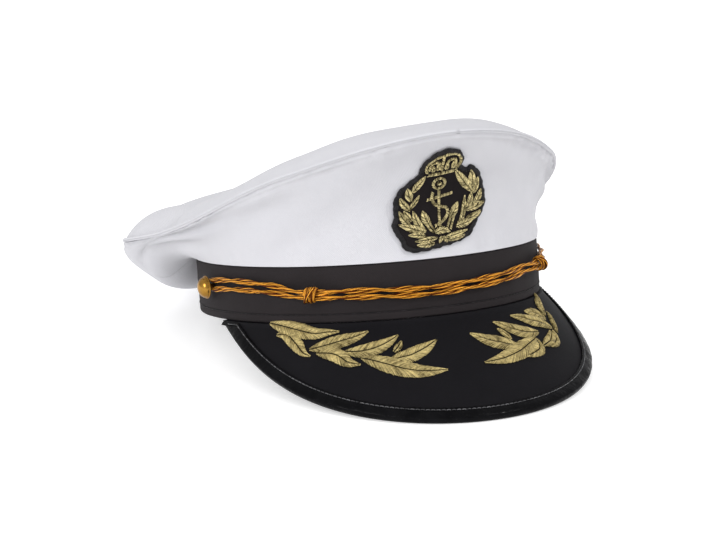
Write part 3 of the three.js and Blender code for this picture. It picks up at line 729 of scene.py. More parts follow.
def buildWelt():
    count, corners = weltForm["stations"], weltForm["corners"]
    angle = wrapped(np.arange(count) * 360 / count)
    arc = np.radians(angle) * weltForm["arcRadius"]
    radius = weltForm["radius"] + weltForm["unevenness"] * waves(arc, 0, 31, 6)
    radius = radius + weltForm["rib"] * np.sin(arc * fullTurn / weltForm["ribPitch"])
    sections = tubeSections(seamPoint(angle), radius, corners)
    around = np.arange(corners) / corners * weltForm["clothAround"]
    along = np.arange(count) * math.pi / 3
    uv = np.stack(np.broadcast_arrays(along[:, None], around[None, :]), -1)
    welt = sweep("crownWelt", sections, whiteCloth, uv.reshape(-1, 2), looped=True)
    finished(welt, "crown_cloth", "crown_welt")


buildCrown()
buildWelt()
print("crown made")

# Head band
bandDetail = {
    "columns": 360,
    "edgeRound": 0.9,
    "ripple": 0.12,
    "arcRadius": 95,
    # groove of the hem's stitches, outwards and up
    "hem": [(0.0, 2.4), (0.0, 3.4), (-0.12, 3.9), (-0.4, 4.3), (-0.12, 4.7), (0.0, 5.2)],
}


def buildBand():
    height, wall, edge = bandForm["height"], bandForm["wall"], bandDetail["edgeRound"]
    profile = [(0.0, edge)] + bandDetail["hem"]
    profile += [(0.0, height * 0.35), (0.0, height * 0.6), (0.0, height * 0.8), (0.0, height - edge)]
    for turn in (30, 60, 90):
        profile.append((-edge * (1 - cosD(turn)), height - edge + edge * sinD(turn)))
    profile += [(-wall, height), (-wall, height * 0.5), (-wall, 0.0)]
    for turn in (90, 60, 30):
        profile.append((-edge * (1 - cosD(turn)), edge - edge * sinD(turn)))
    profile = np.array(profile, float)
    count = bandDetail["columns"]
    angle = np.arange(count) * 360 / count - 180
    arc = np.radians(angle) * bandDetail["arcRadius"]
    sections = []
    for out, up in profile:
        soft = np.sin(np.pi * np.clip(up / height, 0, 1)) * bandDetail["ripple"] * waves(arc, up, 41, 30)
        sections.append(bandPoint(angle, out + (soft if out == 0 else 0), up))
    sections = np.stack(sections, 1)
    run = arcAlong(profile)
    uv = np.stack(np.broadcast_arrays(arc[:, None], run[None, :]), -1).reshape(-1, 2)
    finished(sweep("headBand", sections, bandTwill, uv, looped=True), "band_cloth", "head_band")


buildBand()
print("band made")

# Visor
visorDetail = {"columns": 240, "rows": 46, "bindingStations": 420, "cutAngle": 80.8, "endThin": 0.35,
               "bandJoint": 0.7, "clothRadius": 127}


def thinned(angle, up):
    end = mixed(1, visorDetail["endThin"], smooth(66, visorDetail["cutAngle"], np.abs(angle)))
    return up * end + visorForm["thickness"] / 2 * (1 - end)


def buildVisor():
    cut, wall = visorDetail["cutAngle"], bandForm["wall"]
    rows = visorDetail["rows"]

    def surface(u, v, depth):
        angle = mixed(-cut, cut, u)
        edge = np.maximum(0.3, visorReach(angle) - visorForm["bead"] - 2 * gap)
        row = np.round(v * rows)
        out = np.where(row < 2, -wall * (1 - row / 2), edge * (row - 2) / (rows - 2))
        up = thinned(angle, visorForm["thickness"] / 2 - depth)
        joint = visorDetail["bandJoint"] * np.exp(-(out / 1.2) ** 2) * (depth == 0)
        return visorPoint(angle, out + np.where(row == 2, 0.01, 0), up + joint)

    def uv(u, v):
        angle = mixed(-cut, cut, u)
        radius = visorDetail["clothRadius"] + visorReach(angle) * v
        turn = np.radians(angle * cosD(visorForm["droop"]))
        return np.stack([radius * np.sin(turn), radius * np.cos(turn)], -1)

    plate = shell("visorPlate", visorDetail["columns"], rows, surface, visorForm["thickness"], visorCloth, uv)
    finished(plate, "visor_cloth", "visor")


def bindingWidthAt(angle):
    reach = visorReach(angle)
    turn = (visorReach(angle + 1) - visorReach(angle - 1)) / 2
    flat = reach * cosD(visorForm["droop"])
    step = np.linalg.norm(bandPoint(angle - 0.5, flat, 0) - bandPoint(angle + 0.5, flat, 0), axis=-1)
    return np.minimum(visorForm["bindingWidth"] * np.hypot(1, turn / step), reach - gap)


def buildBinding():
    cut, wall = visorDetail["cutAngle"], visorForm["bindingWall"]
    slot = visorForm["thickness"] / 2 + gap
    top = slot + wall
    angle = np.linspace(-cut, cut, visorDetail["bindingStations"])
    reach, width = visorReach(angle), bindingWidthAt(angle)
    inner, bead = reach - width, np.minimum(visorForm["bead"], width * 0.6)
    arc = arcAlong(visorPoint(angle, reach, 0.0))
    pucker = 0.16 * np.sin(arc * fullTurn / 3.1) + 0.12 * waves(arc, 0, 51, 9)
    soft = 0.1 * waves(arc, 0, 53, 14)
    corners = [(inner + pucker * 0.8, slot + 0 * inner), (inner + pucker, slot + 0.55 + 0 * inner),
               (inner + 0.5 + pucker, top - 0.05 + 0 * inner), (inner + 1.5, top - 0.28 + 0.05 * pucker),
               (inner + 2.3, top - 0.02 + soft),
               (mixed(inner + 2.3, reach - bead * 0.9, 0.5), top + 0.1 + soft)]
    for turn in range(70, -71, -20):
        corners.append((reach - bead * 0.9 * (1 - cosD(turn)), top * sinD(turn) / sinD(70)
                        + (soft if turn > 0 else 0)))
    corners += [(inner + 0.4, -top + 0 * inner), (inner, -slot - 0.4 + 0 * inner), (inner, -slot + 0 * inner),
                (reach - bead, -slot + 0 * inner), (reach - bead, slot + 0 * inner)]
    sections = np.stack([visorPoint(angle, out, thinned(angle, up)) for out, up in corners], 1)
    finished(sweep("visorBinding", sections, patent, sharp=60), "visor_binding", "visor_binding")


buildVisor()
buildBinding()
print("visor made")

# Threads and cords, by geometry nodes
def newTree(name, inputs):
    tree = bpy.data.node_groups.new(name, "GeometryNodeTree")
    tree.interface.new_socket("Geometry", in_out="INPUT", socket_type="NodeSocketGeometry")
    for label, (kind, value) in inputs.items():
        socket = tree.interface.new_socket(label, in_out="INPUT", socket_type="NodeSocket" + kind)
        if value is not None:
            socket.default_value = value
    tree.interface.new_socket("Geometry", in_out="OUTPUT", socket_type="NodeSocketGeometry")
    source = tree.nodes.new("NodeGroupInput")
    return tree, {socket.name: Value(tree, socket) for socket in source.outputs if socket.name}


# Each curve keeps a random tone of its own, for the thread finishes, where it gives real tone and painted
# highlight and shade
def ownTone(tree, curves, number):
    chance = addNode(tree, "FunctionNodeRandomValue", {"data_type": "FLOAT"}, {"ID": number, "Seed": 7})
    value = next(output for output in chance.socket.node.outputs if output.enabled)
    return addNode(tree, "GeometryNodeStoreNamedAttribute", {"data_type": "FLOAT", "domain": "CURVE"}, {
        "Geometry": curves, "Name": "tone", "Value": Value(tree, value)})


# Sweeps a section along the curves and hands the result over with its finish
def sweptTree(tree, curves, section, finish):
    tube = addNode(tree, "GeometryNodeCurveToMesh", None, {
        "Curve": curves, "Profile Curve": section, "Fill Caps": True})
    even = addNode(tree, "GeometryNodeSetShadeSmooth", None, {"Geometry": tube})
    real = addNode(tree, "GeometryNodeRealizeInstances", None, {"Geometry": even})
    done = addNode(tree, "GeometryNodeSetMaterial", None, {"Geometry": real, "Material": finish})
    tree.links.new(done.socket, tree.nodes.new("NodeGroupOutput").inputs[0])
    return tree


# Every line of the input becomes a round thread
def makeThreadTree():
    tree, given = newTree("roundThreads", {
        "Thread radius": ("Float", 0.0002), "Sides": ("Int", 5), "Thread finish": ("Material", None)})
    line = addNode(tree, "GeometryNodeMeshToCurve", None, {"Mesh": given["Geometry"]})
    ring = addNode(tree, "GeometryNodeCurvePrimitiveCircle", None, {
        "Resolution": given["Sides"], "Radius": given["Thread radius"]})
    toned = ownTone(tree, line, addNode(tree, "GeometryNodeInputIndex"))
    return sweptTree(tree, toned, ring, given["Thread finish"])


# A bundle of plies twisted round one line, each ply itself a bundle of thin twisted filaments
def makeCordTree():
    tree, given = newTree("twistedCord", {
        "Point spacing": ("Float", 0.0008), "Plies": ("Int", 2), "Ply offset": ("Float", 0.0009),
        "Ply pitch": ("Float", 0.036), "Filaments": ("Int", 9), "Filament offset": ("Float", 0.00055),
        "Filament pitch": ("Float", 0.009), "Filament radius": ("Float", 0.0003),
        "Looseness": ("Float", 0.0001), "Cord finish": ("Material", None)})

    def vector(operation, first, second):
        place = "Scale" if operation == "SCALE" else 1
        return addNode(tree, "ShaderNodeVectorMath", {"operation": operation}, {0: first, place: second})

    line = addNode(tree, "GeometryNodeMeshToCurve", None, {"Mesh": given["Geometry"]})
    even = addNode(tree, "GeometryNodeResampleCurve", {"mode": "LENGTH"}, {
        "Curve": line, "Length": given["Point spacing"]})
    copies = addNode(tree, "GeometryNodeDuplicateElements", {"domain": "SPLINE"}, {
        "Geometry": even, "Amount": given["Plies"] * given["Filaments"]})
    number = Value(tree, copies.socket.node.outputs["Duplicate Index"])
    ply = ((number + 0.01) / given["Filaments"]).floor()
    filament = number - ply * given["Filaments"]
    run = addNode(tree, "GeometryNodeSplineParameter", output="Length")
    plyTurn = run / given["Ply pitch"] * fullTurn + ply / given["Plies"] * fullTurn
    filamentTurn = run / given["Filament pitch"] * -fullTurn + filament / given["Filaments"] * fullTurn
    normal = addNode(tree, "GeometryNodeInputNormal")
    across = vector("CROSS_PRODUCT", addNode(tree, "GeometryNodeInputTangent"), normal)

    def ring(turn, radius):
        first = vector("SCALE", normal, turn.cos() * radius)
        return vector("ADD", first, vector("SCALE", across, turn.sin() * radius))

    # each ply wanders a little on its own
    wander = addNode(tree, "ShaderNodeTexNoise", {"noise_dimensions": "4D"}, {
        "Vector": addNode(tree, "GeometryNodeInputPosition"), "W": number * 1.7,
        "Scale": 160.0, "Detail": 1.0}, "Color")
    away = vector("SCALE", vector("SUBTRACT", wander, (0.5, 0.5, 0.5)), given["Looseness"])
    turned = vector("ADD", ring(plyTurn, given["Ply offset"]), ring(filamentTurn, given["Filament offset"]))
    moved = addNode(tree, "GeometryNodeSetPosition", None, {
        "Geometry": ownTone(tree, copies, number), "Offset": vector("ADD", turned, away)})
    section = addNode(tree, "GeometryNodeCurvePrimitiveCircle", None, {
        "Radius": given["Filament radius"], "Resolution": 5})
    return sweptTree(tree, moved, section, given["Cord finish"])


threadTree = makeThreadTree()
cordTree = makeCordTree()


# Runs a tree on lines of points and keeps the result as a plain mesh
def throughTree(name, tree, lines, inputs):
    points, edges = [], []
    for line in lines:
        first = len(points)
        points += line.tolist()
        edges += [(first + i, first + i + 1) for i in range(len(line) - 1)]
    mesh = bpy.data.meshes.new(name + "Lines")
    mesh.from_pydata(points, edges, [])
    guide = bpy.data.objects.new(name + "Lines", mesh)
    bpy.context.scene.collection.objects.link(guide)
    modifier = guide.modifiers.new("threads", "NODES")
    modifier.node_group = tree
    for item in tree.interface.items_tree:
        if item.name in inputs:
            modifier[item.identifier] = inputs[item.name]
    bpy.context.view_layer.update()
    made = bpy.data.meshes.new_from_object(guide.evaluated_get(bpy.context.evaluated_depsgraph_get()))
    bpy.data.objects.remove(guide)
    piece = bpy.data.objects.new(name, made)
    bpy.context.scene.collection.objects.link(piece)
    return piece


def threads(name, lines, radius, finish):
    return throughTree(name, threadTree, [placed(line) for line in lines], {
        "Thread radius": radius / 1000, "Thread finish": finish.material})


def curveThrough(points, count):
    points = np.asarray(points, float)
    if len(points) == 2:
        return mixed(points[0], points[1], np.linspace(0, 1, count)[:, None])
    padded = np.concatenate([[2 * points[0] - points[1]], points, [2 * points[-1] - points[-2]]])
    place = np.linspace(0, len(points) - 1, count)
    row = np.minimum(place.astype(int), len(points) - 2)
    t = (place - row)[:, None]
    return throughPoints(padded[row], padded[row + 1], padded[row + 2], padded[row + 3], t)


# Line of points spaced evenly along itself, with the direction across it
def evenLine(points, count):
    dense = curveThrough(points, 400)
    arc = arcAlong(dense)
    at = np.linspace(0, arc[-1], count)
    line = np.stack([np.interp(at, arc, dense[:, i]) for i in range(dense.shape[1])], -1)
    ahead = np.gradient(line, axis=0)
    ahead /= np.linalg.norm(ahead, axis=1)[:, None]
    return line, np.stack([-ahead[:, 1], ahead[:, 0]], -1), arc[-1]


# Chin cord
cordForm = {
    "standoff": 2, "knotStandoff": 4.35, "bow": 8, "knotAngles": (-43.0, 43.0),
    "spacing": 0.9, "plyOffset": 0.8, "plyPitch": 46, "filaments": 8, "filamentOffset": 0.52,
    "filamentPitch": 22, "filamentRadius": 0.23, "looseness": 0.3, "endAngle": 86.2, "closer": 0.82,
    # angle, height over the band's lower edge, spread of the two strands
    "route": [
        (-84.5, 18.2, 2.9), (-77, 18.9, 2.8), (-69, 19, 2.6), (-57, 17.8, 2.3), (-50, 15.8, 1.8),
        (-43, 14.9, 1.5), (-36, 14.6, 1.8), (-26.7, 14.3, 2), (-19, 13.8, 1.9), (-10, 13.3, 2),
        (0, 13.3, 1.9), (10.5, 14.2, 2), (21.3, 14.8, 2), (32.7, 16.4, 1.9), (43, 17.3, 1.5),
        (50, 17.8, 1.8), (57, 18.2, 2.3), (69, 18.9, 2.6), (77, 18.9, 2.8), (84.5, 18.2, 2.9)],
}


def cordInputs(plies, plyOffset):
    sizes = {"Point spacing": cordForm["spacing"], "Ply offset": plyOffset, "Ply pitch": cordForm["plyPitch"],
             "Filament offset": cordForm["filamentOffset"], "Filament pitch": cordForm["filamentPitch"],
             "Filament radius": cordForm["filamentRadius"], "Looseness": cordForm["looseness"]}
    return {**{label: size / 1000 for label, size in sizes.items()},
            "Plies": plies, "Filaments": cordForm["filaments"], "Cord finish": goldCord.material}


def cordStandoff(angle):
    near = [np.exp(-((angle - knot) / cordForm["bow"]) ** 4) for knot in cordForm["knotAngles"]]
    return mixed(cordForm["standoff"], cordForm["knotStandoff"], np.maximum.reduce(near))


def buildCord():
    angle = np.linspace(-cordForm["endAngle"], cordForm["endAngle"], 260)
    height = tableValue(cordForm["route"], 1, angle)
    spread = tableValue(cordForm["route"], 2, angle) * cordForm["closer"]
    for level, side in (("upper", 1), ("lower", -1)):
        line = placed(bandPoint(angle, cordStandoff(angle) + 0.1, height + side * spread))
        strand = throughTree("cordStrand" + level.capitalize(), cordTree, [line],
                             cordInputs(2, cordForm["plyOffset"]))
        finished(strand, "gold_cord", "cord_strand_" + level)


knotForm = {"turns": 4.25, "halfLength": 3.1, "out": 2.6, "up": 3.5, "slant": 0.8, "taper": 0.12,
            "crossTurn": 0.21, "crossOut": 4.0, "crossAlong": 3.0, "crossUp": 3.7}


# Cord wound round both strands, and one crossing turn over them
def buildKnots():
    for side, angle, lean in zip(("right", "left"), cordForm["knotAngles"], (1, -1)):
        height = float(tableValue(cordForm["route"], 1, np.array([angle]))[0])
        middle = bandPoint(angle, cordStandoff(angle), height)
        outward, along = bandAxes(angle)

        def loop(out, sideways, up):
            return placed(middle + outward * out[:, None] + along * sideways[:, None] + upward * up[:, None])

        turn = np.linspace(0, knotForm["turns"] * fullTurn, 150)
        step = np.linspace(-knotForm["halfLength"], knotForm["halfLength"], 150)
        reach = 1 - knotForm["taper"] * (step / knotForm["halfLength"]) ** 2
        wound = loop(np.cos(turn) * knotForm["out"] * reach, step + lean * knotForm["slant"] * np.sin(turn),
                     np.sin(turn) * knotForm["up"] * reach)
        cross = np.linspace(-1, 1, 40) * knotForm["crossTurn"] * fullTurn
        crossing = loop(np.cos(cross) * knotForm["crossOut"], lean * knotForm["crossAlong"] * np.sin(cross),
                        np.sin(cross) * knotForm["crossUp"])
        knot = throughTree("cordKnot" + side.capitalize(), cordTree, [wound, crossing], cordInputs(1, 0))
        finished(knot, "gold_cord", "cord_knot_" + side)


buildCord()
buildKnots()
print("cord made")

# Side buttons
buttonForm = {"angle": 87, "height": 16.7, "radius": 6, "standoff": 3.9, "dome": 4.2, "shank": 1.7}


def buildButtons():
    radius, base = buttonForm["radius"], buttonForm["standoff"]
    profile = [(0.0, gap), (buttonForm["shank"], gap), (buttonForm["shank"], base), (radius * 0.84, base),
               (radius * 0.95, base + 0.12), (radius, base + 0.45), (radius * 0.985, base + 0.8),
               (radius * 0.93, base + 1.0), (radius * 0.9, base + 0.95)]
    for turn in np.linspace(14, 90, 14):
        profile.append((radius * 0.92 * cosD(turn), base + 0.8 + buttonForm["dome"] * sinD(turn)))
    count = 56
    spin = np.arange(count)[:, None] * fullTurn / count
    for side, angle in (("right", -buttonForm["angle"]), ("left", buttonForm["angle"])):
        foot = bandPoint(angle, 0, buttonForm["height"])
        outward, along = bandAxes(angle)
        turned = along * np.cos(spin) + upward * np.sin(spin)
        circles = [foot + outward * out + turned * r for r, out in profile]
        points = np.concatenate([circles[0][:1]] + circles[1:-1] + [circles[-1][:1]])
        rings = len(profile) - 2
        faces = []
        for i in range(count):
            j = (i + 1) % count
            faces.append((0, 1 + i, 1 + j))
            faces.append((len(points) - 1, 1 + (rings - 1) * count + j, 1 + (rings - 1) * count + i))
            for low in range(1, 1 + (rings - 1) * count, count):
                faces.append((low + i, low + count + i, low + count + j, low + j))
        button = makeMesh("sideButton" + side.capitalize(), points, outwards(points, faces), brass, sharp=40)
        finished(button, "button_brass", "side_button_" + side)


buildButtons()
print("buttons made")

# Embroidery: each leaf is a line of points along its midrib, from root to tip, and its width
stitchForm = {
    "samples": 200,
    # leaves lie at three heights, this far apart
    "lift": 0.08,
    # share of the stitches' width that the padding fills
    "leafPad": 0.93,
    "barPad": 0.9,
    # profiles of the padding: across and up
    "leafRidge": [(-1, 0), (-0.85, 0.3), (-0.5, 0.55), (-0.12, 0.4), (0, 0.2),
                  (0.12, 0.4), (0.5, 0.55), (0.85, 0.3), (1, 0)],
    "barRidge": [(-1, 0), (-0.7, 0.4), (0, 0.6), (0.7, 0.4), (1, 0)],
}
samples = stitchForm["samples"]


def leafHalf(width, share):
    return width / 2 * np.maximum(0.06, np.sin(math.pi * np.clip(share, 0, 1) ** 0.85) ** 0.8)


# Satin stitches of one leaf, slanting forwards from its midrib to its edges, as flat points with a height
def leafStitches(leaf, width, style, seed):
    line, across, length = evenLine(leaf, samples)
    rng = np.random.default_rng(seed)
    count = max(6, int(length / style["pitch"]))
    shares = (np.arange(count) + 0.5) / count
    lines = []
    lift = stitchForm["lift"] * (seed % 3)
    for side in (-1, 1):
        for share in shares:
            end = min(0.995, share + style["slant"] * leafHalf(width, share) / length)
            ends = []
            for at, reach in ((share, style["rib"]), (end, leafHalf(width, end) * rng.uniform(0.93, 1.04))):
                row = at * (samples - 1)
                low = int(row)
                point = mixed(line[low], line[min(low + 1, samples - 1)], row - low)
                ends.append(point + across[low] * side * reach)
            t = np.linspace(0, 1, 5)
            flat = mixed(ends[0], ends[1], t[:, None])
            crown = style["height"] * (0.25 + 0.75 * min(1, leafHalf(width, share) / (width / 2) * 1.3))
            z = crown * np.array([0.45, 0.9, 1.0, 0.78, 0.08]) + lift
            lines.append(np.column_stack([flat, z]))
    return lines


# Low ridge under stitches, by its half widths and rises along a line and a profile across it; its dark finish
# is painted shade showing in the gaps between the stitches
def ridge(line, across, half, rise, lift, profile):
    lines = [np.column_stack([line + across * (half * t)[:, None], rise * z + lift]) for t, z in profile]
    return np.stack(lines, 1)


# Padding that closes the gaps between a leaf's stitches and shows there as painted shade
def leafPad(leaf, width, style, seed):
    count = 18
    line, across, _ = evenLine(leaf, count)
    half = leafHalf(width, np.linspace(0, 1, count)) * stitchForm["leafPad"]
    rise = style["height"] * np.clip(half / (width / 2) * 1.2, 0.3, 1)
    return ridge(line, across, half, rise, stitchForm["lift"] * (seed % 3), stitchForm["leafRidge"])


# Satin stitches across a line, as on the anchor's bars
def barStitches(points, width, style, seed):
    line, across, length = evenLine(points, samples)
    rng = np.random.default_rng(seed)
    count = max(4, int(length / style["pitch"]))
    lines = []
    for share in (np.arange(count) + 0.5) / count:
        low = int(share * (samples - 1))
        lean = np.array([across[low][1], -across[low][0]]) * width / 4
        a = line[low] - across[low] * width / 2 * rng.uniform(0.92, 1.05) - lean
        b = line[low] + across[low] * width / 2 * rng.uniform(0.92, 1.05) + lean
        t = np.linspace(0, 1, 5)
        z = style["height"] * np.array([0.1, 0.75, 1, 0.75, 0.1])
        lines.append(np.column_stack([mixed(a, b, t[:, None]), z]))
    return lines


def barPad(points, width, style):
    count = 24
    line, across, _ = evenLine(points, count)
    half = np.full(count, width / 2 * stitchForm["barPad"])
    return ridge(line, across, half, np.full(count, style["height"]), 0, stitchForm["barRidge"])


def laid(flat, place):
    flat = np.asarray(flat, float)
    return place(flat[..., 0], flat[..., 1], flat[..., 2])


def joinedPads(name, pads, place, finish):
    points, faces = [], []
    for pad in pads:
        first = len(points)
        points += laid(pad, place).reshape(-1, 3).tolist()
        own = outwards(points[first:], sweptFaces(*pad.shape[:2]))
        faces += [tuple(first + i for i in face) for face in own]
    return makeMesh(name, points, faces, finish)


def embroidered(name, node, leaves, bars, style, place, thread):
    lines, pads = [], []
    for seed, (leaf, width) in enumerate(leaves):
        lines += leafStitches(leaf, width, style, seed + 5)
        pads.append(leafPad(leaf, width, style, seed + 5))
    for seed, (line, width) in enumerate(bars):
        lines += barStitches(line, width, style, seed + 90)
        pads.append(barPad(line, width, style))
    lines = laid(np.array(lines), place)
    finished(threads(name, lines, style["thread"], thread), "gold_thread", node)
    # the padding's dark finish is painted shade between the stitches
    finished(joinedPads(name + "Padding", pads, place, threadShadow), "gold_thread")


sprigForm = {
    "stitching": {"pitch": 0.58, "thread": 0.22, "height": 1.0, "slant": 1.1, "rib": 0.42},
    "right": [
        ([(-88.5, -36.7), (-82.2, -28.2), (-75.1, -19.4), (-69.9, -14.1), (-63.5, -11.2),
          (-58.4, -8.7)], 8.5),
        ([(-75.9, -6.8), (-68.6, -4.5), (-60, -2.9), (-52.2, -1.8), (-44.9, -2.3)], 8.5),
        ([(-59.7, 4.3), (-53.7, 7.6), (-46.1, 9.1), (-38.8, 8.3), (-31.6, 5.7)], 8.5),
        ([(-37.4, 15.2), (-34.2, 12.9), (-31.4, 10)], 3.6),
        ([(-41.5, 19.2), (-34.8, 19.6), (-29.5, 19.7), (-21.6, 17.6), (-14, 14.1)], 8.5),
        ([(-53.7, 11.8), (-49.2, 15.6), (-43.8, 20.3), (-38.5, 24.9), (-34.3, 27.9), (-26.9, 31.5),
          (-15.4, 33.7)], 10),
        ([(-73.3, -2.5), (-66.2, 2.4), (-63.1, 6.4), (-60.4, 11.7), (-55.3, 15.7)], 8),
        ([(-88, -26.9), (-83.1, -22.8), (-80.9, -15.3), (-79.3, -6.9), (-76.6, -2.6)], 7),
        ([(-83, -31.7), (-76.5, -25.1)], 3),
    ],
    "left": [
        ([(45.1, 16.4), (37.1, 21.6), (28.5, 26.9), (18.2, 31), (10.9, 32.4), (5, 33)], 9.5),
        ([(30.7, 23.7), (20.1, 20.8), (13.6, 18.8), (9.6, 16.3), (5.2, 13.3)], 9),
        ([(49.8, 11.5), (41, 13), (32.6, 11.6), (27.5, 9.2), (22.1, 6.6)], 8.5),
        ([(64.1, 5.5), (55.8, 3.5), (48.5, 3.4), (42, 2.4), (35.9, 1.9)], 8),
        ([(63.8, -0.9), (58.7, -3.2), (54.5, -3.3), (48.9, -3.3)], 8),
        ([(65, -3.7), (66, -11.5), (69, -18.4), (70.1, -23.6)], 5),
        ([(47.1, 21.7), (54.2, 17.4), (58, 13), (60.1, 8.4)], 6),
        ([(52.7, 21.3), (60.3, 15.3), (63.5, 7.1)], 5.5),
        ([(44.8, 17), (43.4, 23.5), (37.9, 27.4), (31.1, 30.3)], 7),
        ([(27.5, 19), (25.2, 15.3), (22.3, 11.4)], 3), ([(66.3, 8.2), (69.4, -3.2), (70.2, -9.2)], 3),
    ],
}


def onVisor(x, y, z):
    return patternPoint(x, y, z + 0.12)


for side in ("right", "left"):
    embroidered("visorSprig" + side.capitalize(), "visor_sprig_" + side, sprigForm[side], [],
                sprigForm["stitching"], onVisor, goldThread)
print("sprigs made")

# Badge
badgeForm = {
    "stitching": {"pitch": 0.52, "thread": 0.17, "height": 0.9, "slant": 1.0, "rib": 0.24},
    "thickness": 1.2,
    "middle": (-1.2, 30.1),
    # outline, across and up from the band's top at the front
    "outline": [
        (-15, 45.6), (-14.6, 50.4), (-10.6, 56.6), (-5.4, 59.8), (-0.4, 60.2), (4, 57.6), (5.9, 53.6),
        (6, 49.2), (9.2, 47), (11.7, 48.3), (17.3, 43.9), (21.9, 34.1), (23.8, 26.7), (22.4, 21.5),
        (18.8, 16), (14.9, 10.4), (7.9, 7.4), (-4.2, 5.1), (-14, 3.9), (-20.2, 5.1), (-23.1, 11.6),
        (-25.6, 16.7), (-24.6, 23.4), (-25.2, 28), (-23.8, 35.2), (-19, 41),
    ],
    "right": [
        ([(-5.8, 7.3), (-10.4, 6.7), (-14.9, 7)], 3.2), ([(-3.8, 9.9), (-10.1, 9.3), (-15.7, 8.9)], 2.6),
        ([(-9.8, 11.3), (-14.2, 12.2), (-18.5, 12.5)], 3), ([(-9.6, 13.4), (-16.1, 15.6), (-23, 18.4)], 4),
        ([(-9.7, 13.7), (-13.3, 17.5), (-16, 25)], 3.6), ([(-17.3, 16.5), (-20.4, 20.8), (-22.8, 25.4)], 3.4),
        ([(-16.5, 19.7), (-19, 23.3), (-20.6, 25.5)], 2.6),
        ([(-17.2, 25.1), (-20.7, 28.9), (-22.9, 33)], 3.2),
        ([(-18.1, 25.9), (-15.3, 29.8), (-13.4, 33.5)], 2.2),
        ([(-17.5, 30.4), (-18.7, 34.4), (-19.9, 38.2)], 3.6),
        ([(-16.9, 35.3), (-14.5, 39.9), (-11.9, 44.8)], 3.6),
    ],
    "left": [
        ([(-0.1, 9.6), (5.5, 10.6), (12.9, 12.4)], 2.8), ([(1, 7.9), (6.8, 8.7), (11.6, 10)], 2.4),
        ([(6.3, 14.8), (11.7, 16.1), (16.6, 17.5)], 4.4), ([(7, 15.3), (10.4, 20.3), (11.2, 31.1)], 2.4),
        ([(11.8, 17.4), (17.7, 19.3), (21.7, 21.9)], 3.6), ([(12.6, 22.6), (19.2, 24.6), (23.4, 26.6)], 3.6),
        ([(12.9, 24), (14.5, 27.9), (14.7, 32.2)], 3.4), ([(16.2, 25), (19, 28.1), (20.5, 34)], 3.4),
        ([(14.8, 31.4), (16.7, 34.1), (17.1, 41.5)], 3), ([(14.2, 35.4), (13.7, 40.5), (12, 46.1)], 4),
        ([(15.4, 32.4), (10, 38.5), (2.7, 47.6)], 4.4),
    ],
    "anchorLeaves": [
        ([(-7.5, 16.2), (-9.4, 19.6), (-11.3, 24.6)], 4.2), ([(3.6, 19.4), (5.3, 22.6), (7.4, 27.7)], 4.2),
        ([(-5.2, 12.4), (-1, 13.7), (3.2, 12.4)], 3.8), ([(-1.6, 10.6), (-3.3, 7.1)], 1.8),
        ([(-0.9, 10.6), (0.7, 6.8)], 1.8),
    ],
    "anchorBars": [
        ([(-3.6, 35.5), (-2.9, 28.4), (-2, 14.6)], 1.2), ([(-9.4, 30.3), (3.6, 33.3)], 1.4),
        ([(-6.6, 34.6), (-6.8, 31), (-5, 27.7), (-2.2, 26.3), (1.2, 25.3), (2.1, 22.2), (-0.1, 18.8),
          (-5, 15.8)], 1.4),
        ([(-9.2, 17.5), (-7.7, 14.8), (-5.9, 12.7)], 0.9), ([(-7.6, 18.3), (-6.3, 15.6), (-4.8, 13.4)], 0.9),
        ([(3.8, 20.5), (2.7, 17.3), (1.5, 14.1)], 0.9), ([(5.8, 20.7), (4.6, 17.1), (3.4, 13.5)], 0.9),
    ],
    "ring": (-4.1, 39.6, 3.0, 1.3),
    "crownLeaves": [
        ([(-8.7, 47.1), (-9, 51.1)], 2), ([(-6.3, 47.6), (-6.7, 52.5)], 1.8),
        ([(-1.9, 48.1), (-2.2, 52.7)], 1.8), ([(1.1, 48.5), (1, 53.4)], 2),
    ],
    "crownBars": [
        ([(-10.8, 45), (-4.8, 45.6), (2.1, 46.8)], 1.6),
        ([(-11.5, 46.7), (-12.5, 49.8), (-11.7, 52.4), (-8.8, 55.3), (-4.9, 57.2)], 1.3),
        ([(-4.9, 57.2), (0.1, 58.1), (3.2, 56.5), (4.8, 52.5), (3.2, 48.1)], 1.5),
        ([(-4.7, 56.8), (-4.3, 47.4)], 1.3), ([(-10.7, 48), (-10, 52), (-6.6, 52.7), (-5.2, 48.5)], 1),
        ([(-2.7, 48.5), (-1.7, 53.6), (1.5, 54.4), (2.7, 49.9)], 1),
    ],
    "borderPitch": 0.55,
    # points of a border stitch, outwards from the edge and up
    "borderStitch": [(-1.9, 0.0), (-1.5, 0.3), (-0.7, 0.42), (0.05, 0.1), (0.3, -0.75)],
}


def onBadge(x, y, z):
    return panelPoint(x, y, gap + badgeForm["thickness"] + z)


def badgeEdge(count):
    points = np.array(badgeForm["outline"] + badgeForm["outline"][:1], float)
    around = np.concatenate([points[-3:-1], points, points[1:3]])
    spans, steps = len(around) - 1, count * 3 - 1
    line = curveThrough(around, count * 3)[int(2 / spans * steps):int((spans - 2) / spans * steps) + 1]
    arc = arcAlong(line)
    at = np.linspace(0, arc[-1], count + 1)[:-1]
    edge = np.stack([np.interp(at, arc, line[:, i]) for i in range(2)], -1)
    ahead = np.roll(edge, -1, 0) - np.roll(edge, 1, 0)
    ahead /= np.linalg.norm(ahead, axis=1)[:, None]
    outward = np.stack([-ahead[:, 1], ahead[:, 0]], -1)
    scallop = 0.22 * np.sin(at * fullTurn / 6.3) + 0.1 * np.sin(at * fullTurn / 2.9)
    return edge + outward * scallop[:, None], outward, arc[-1]


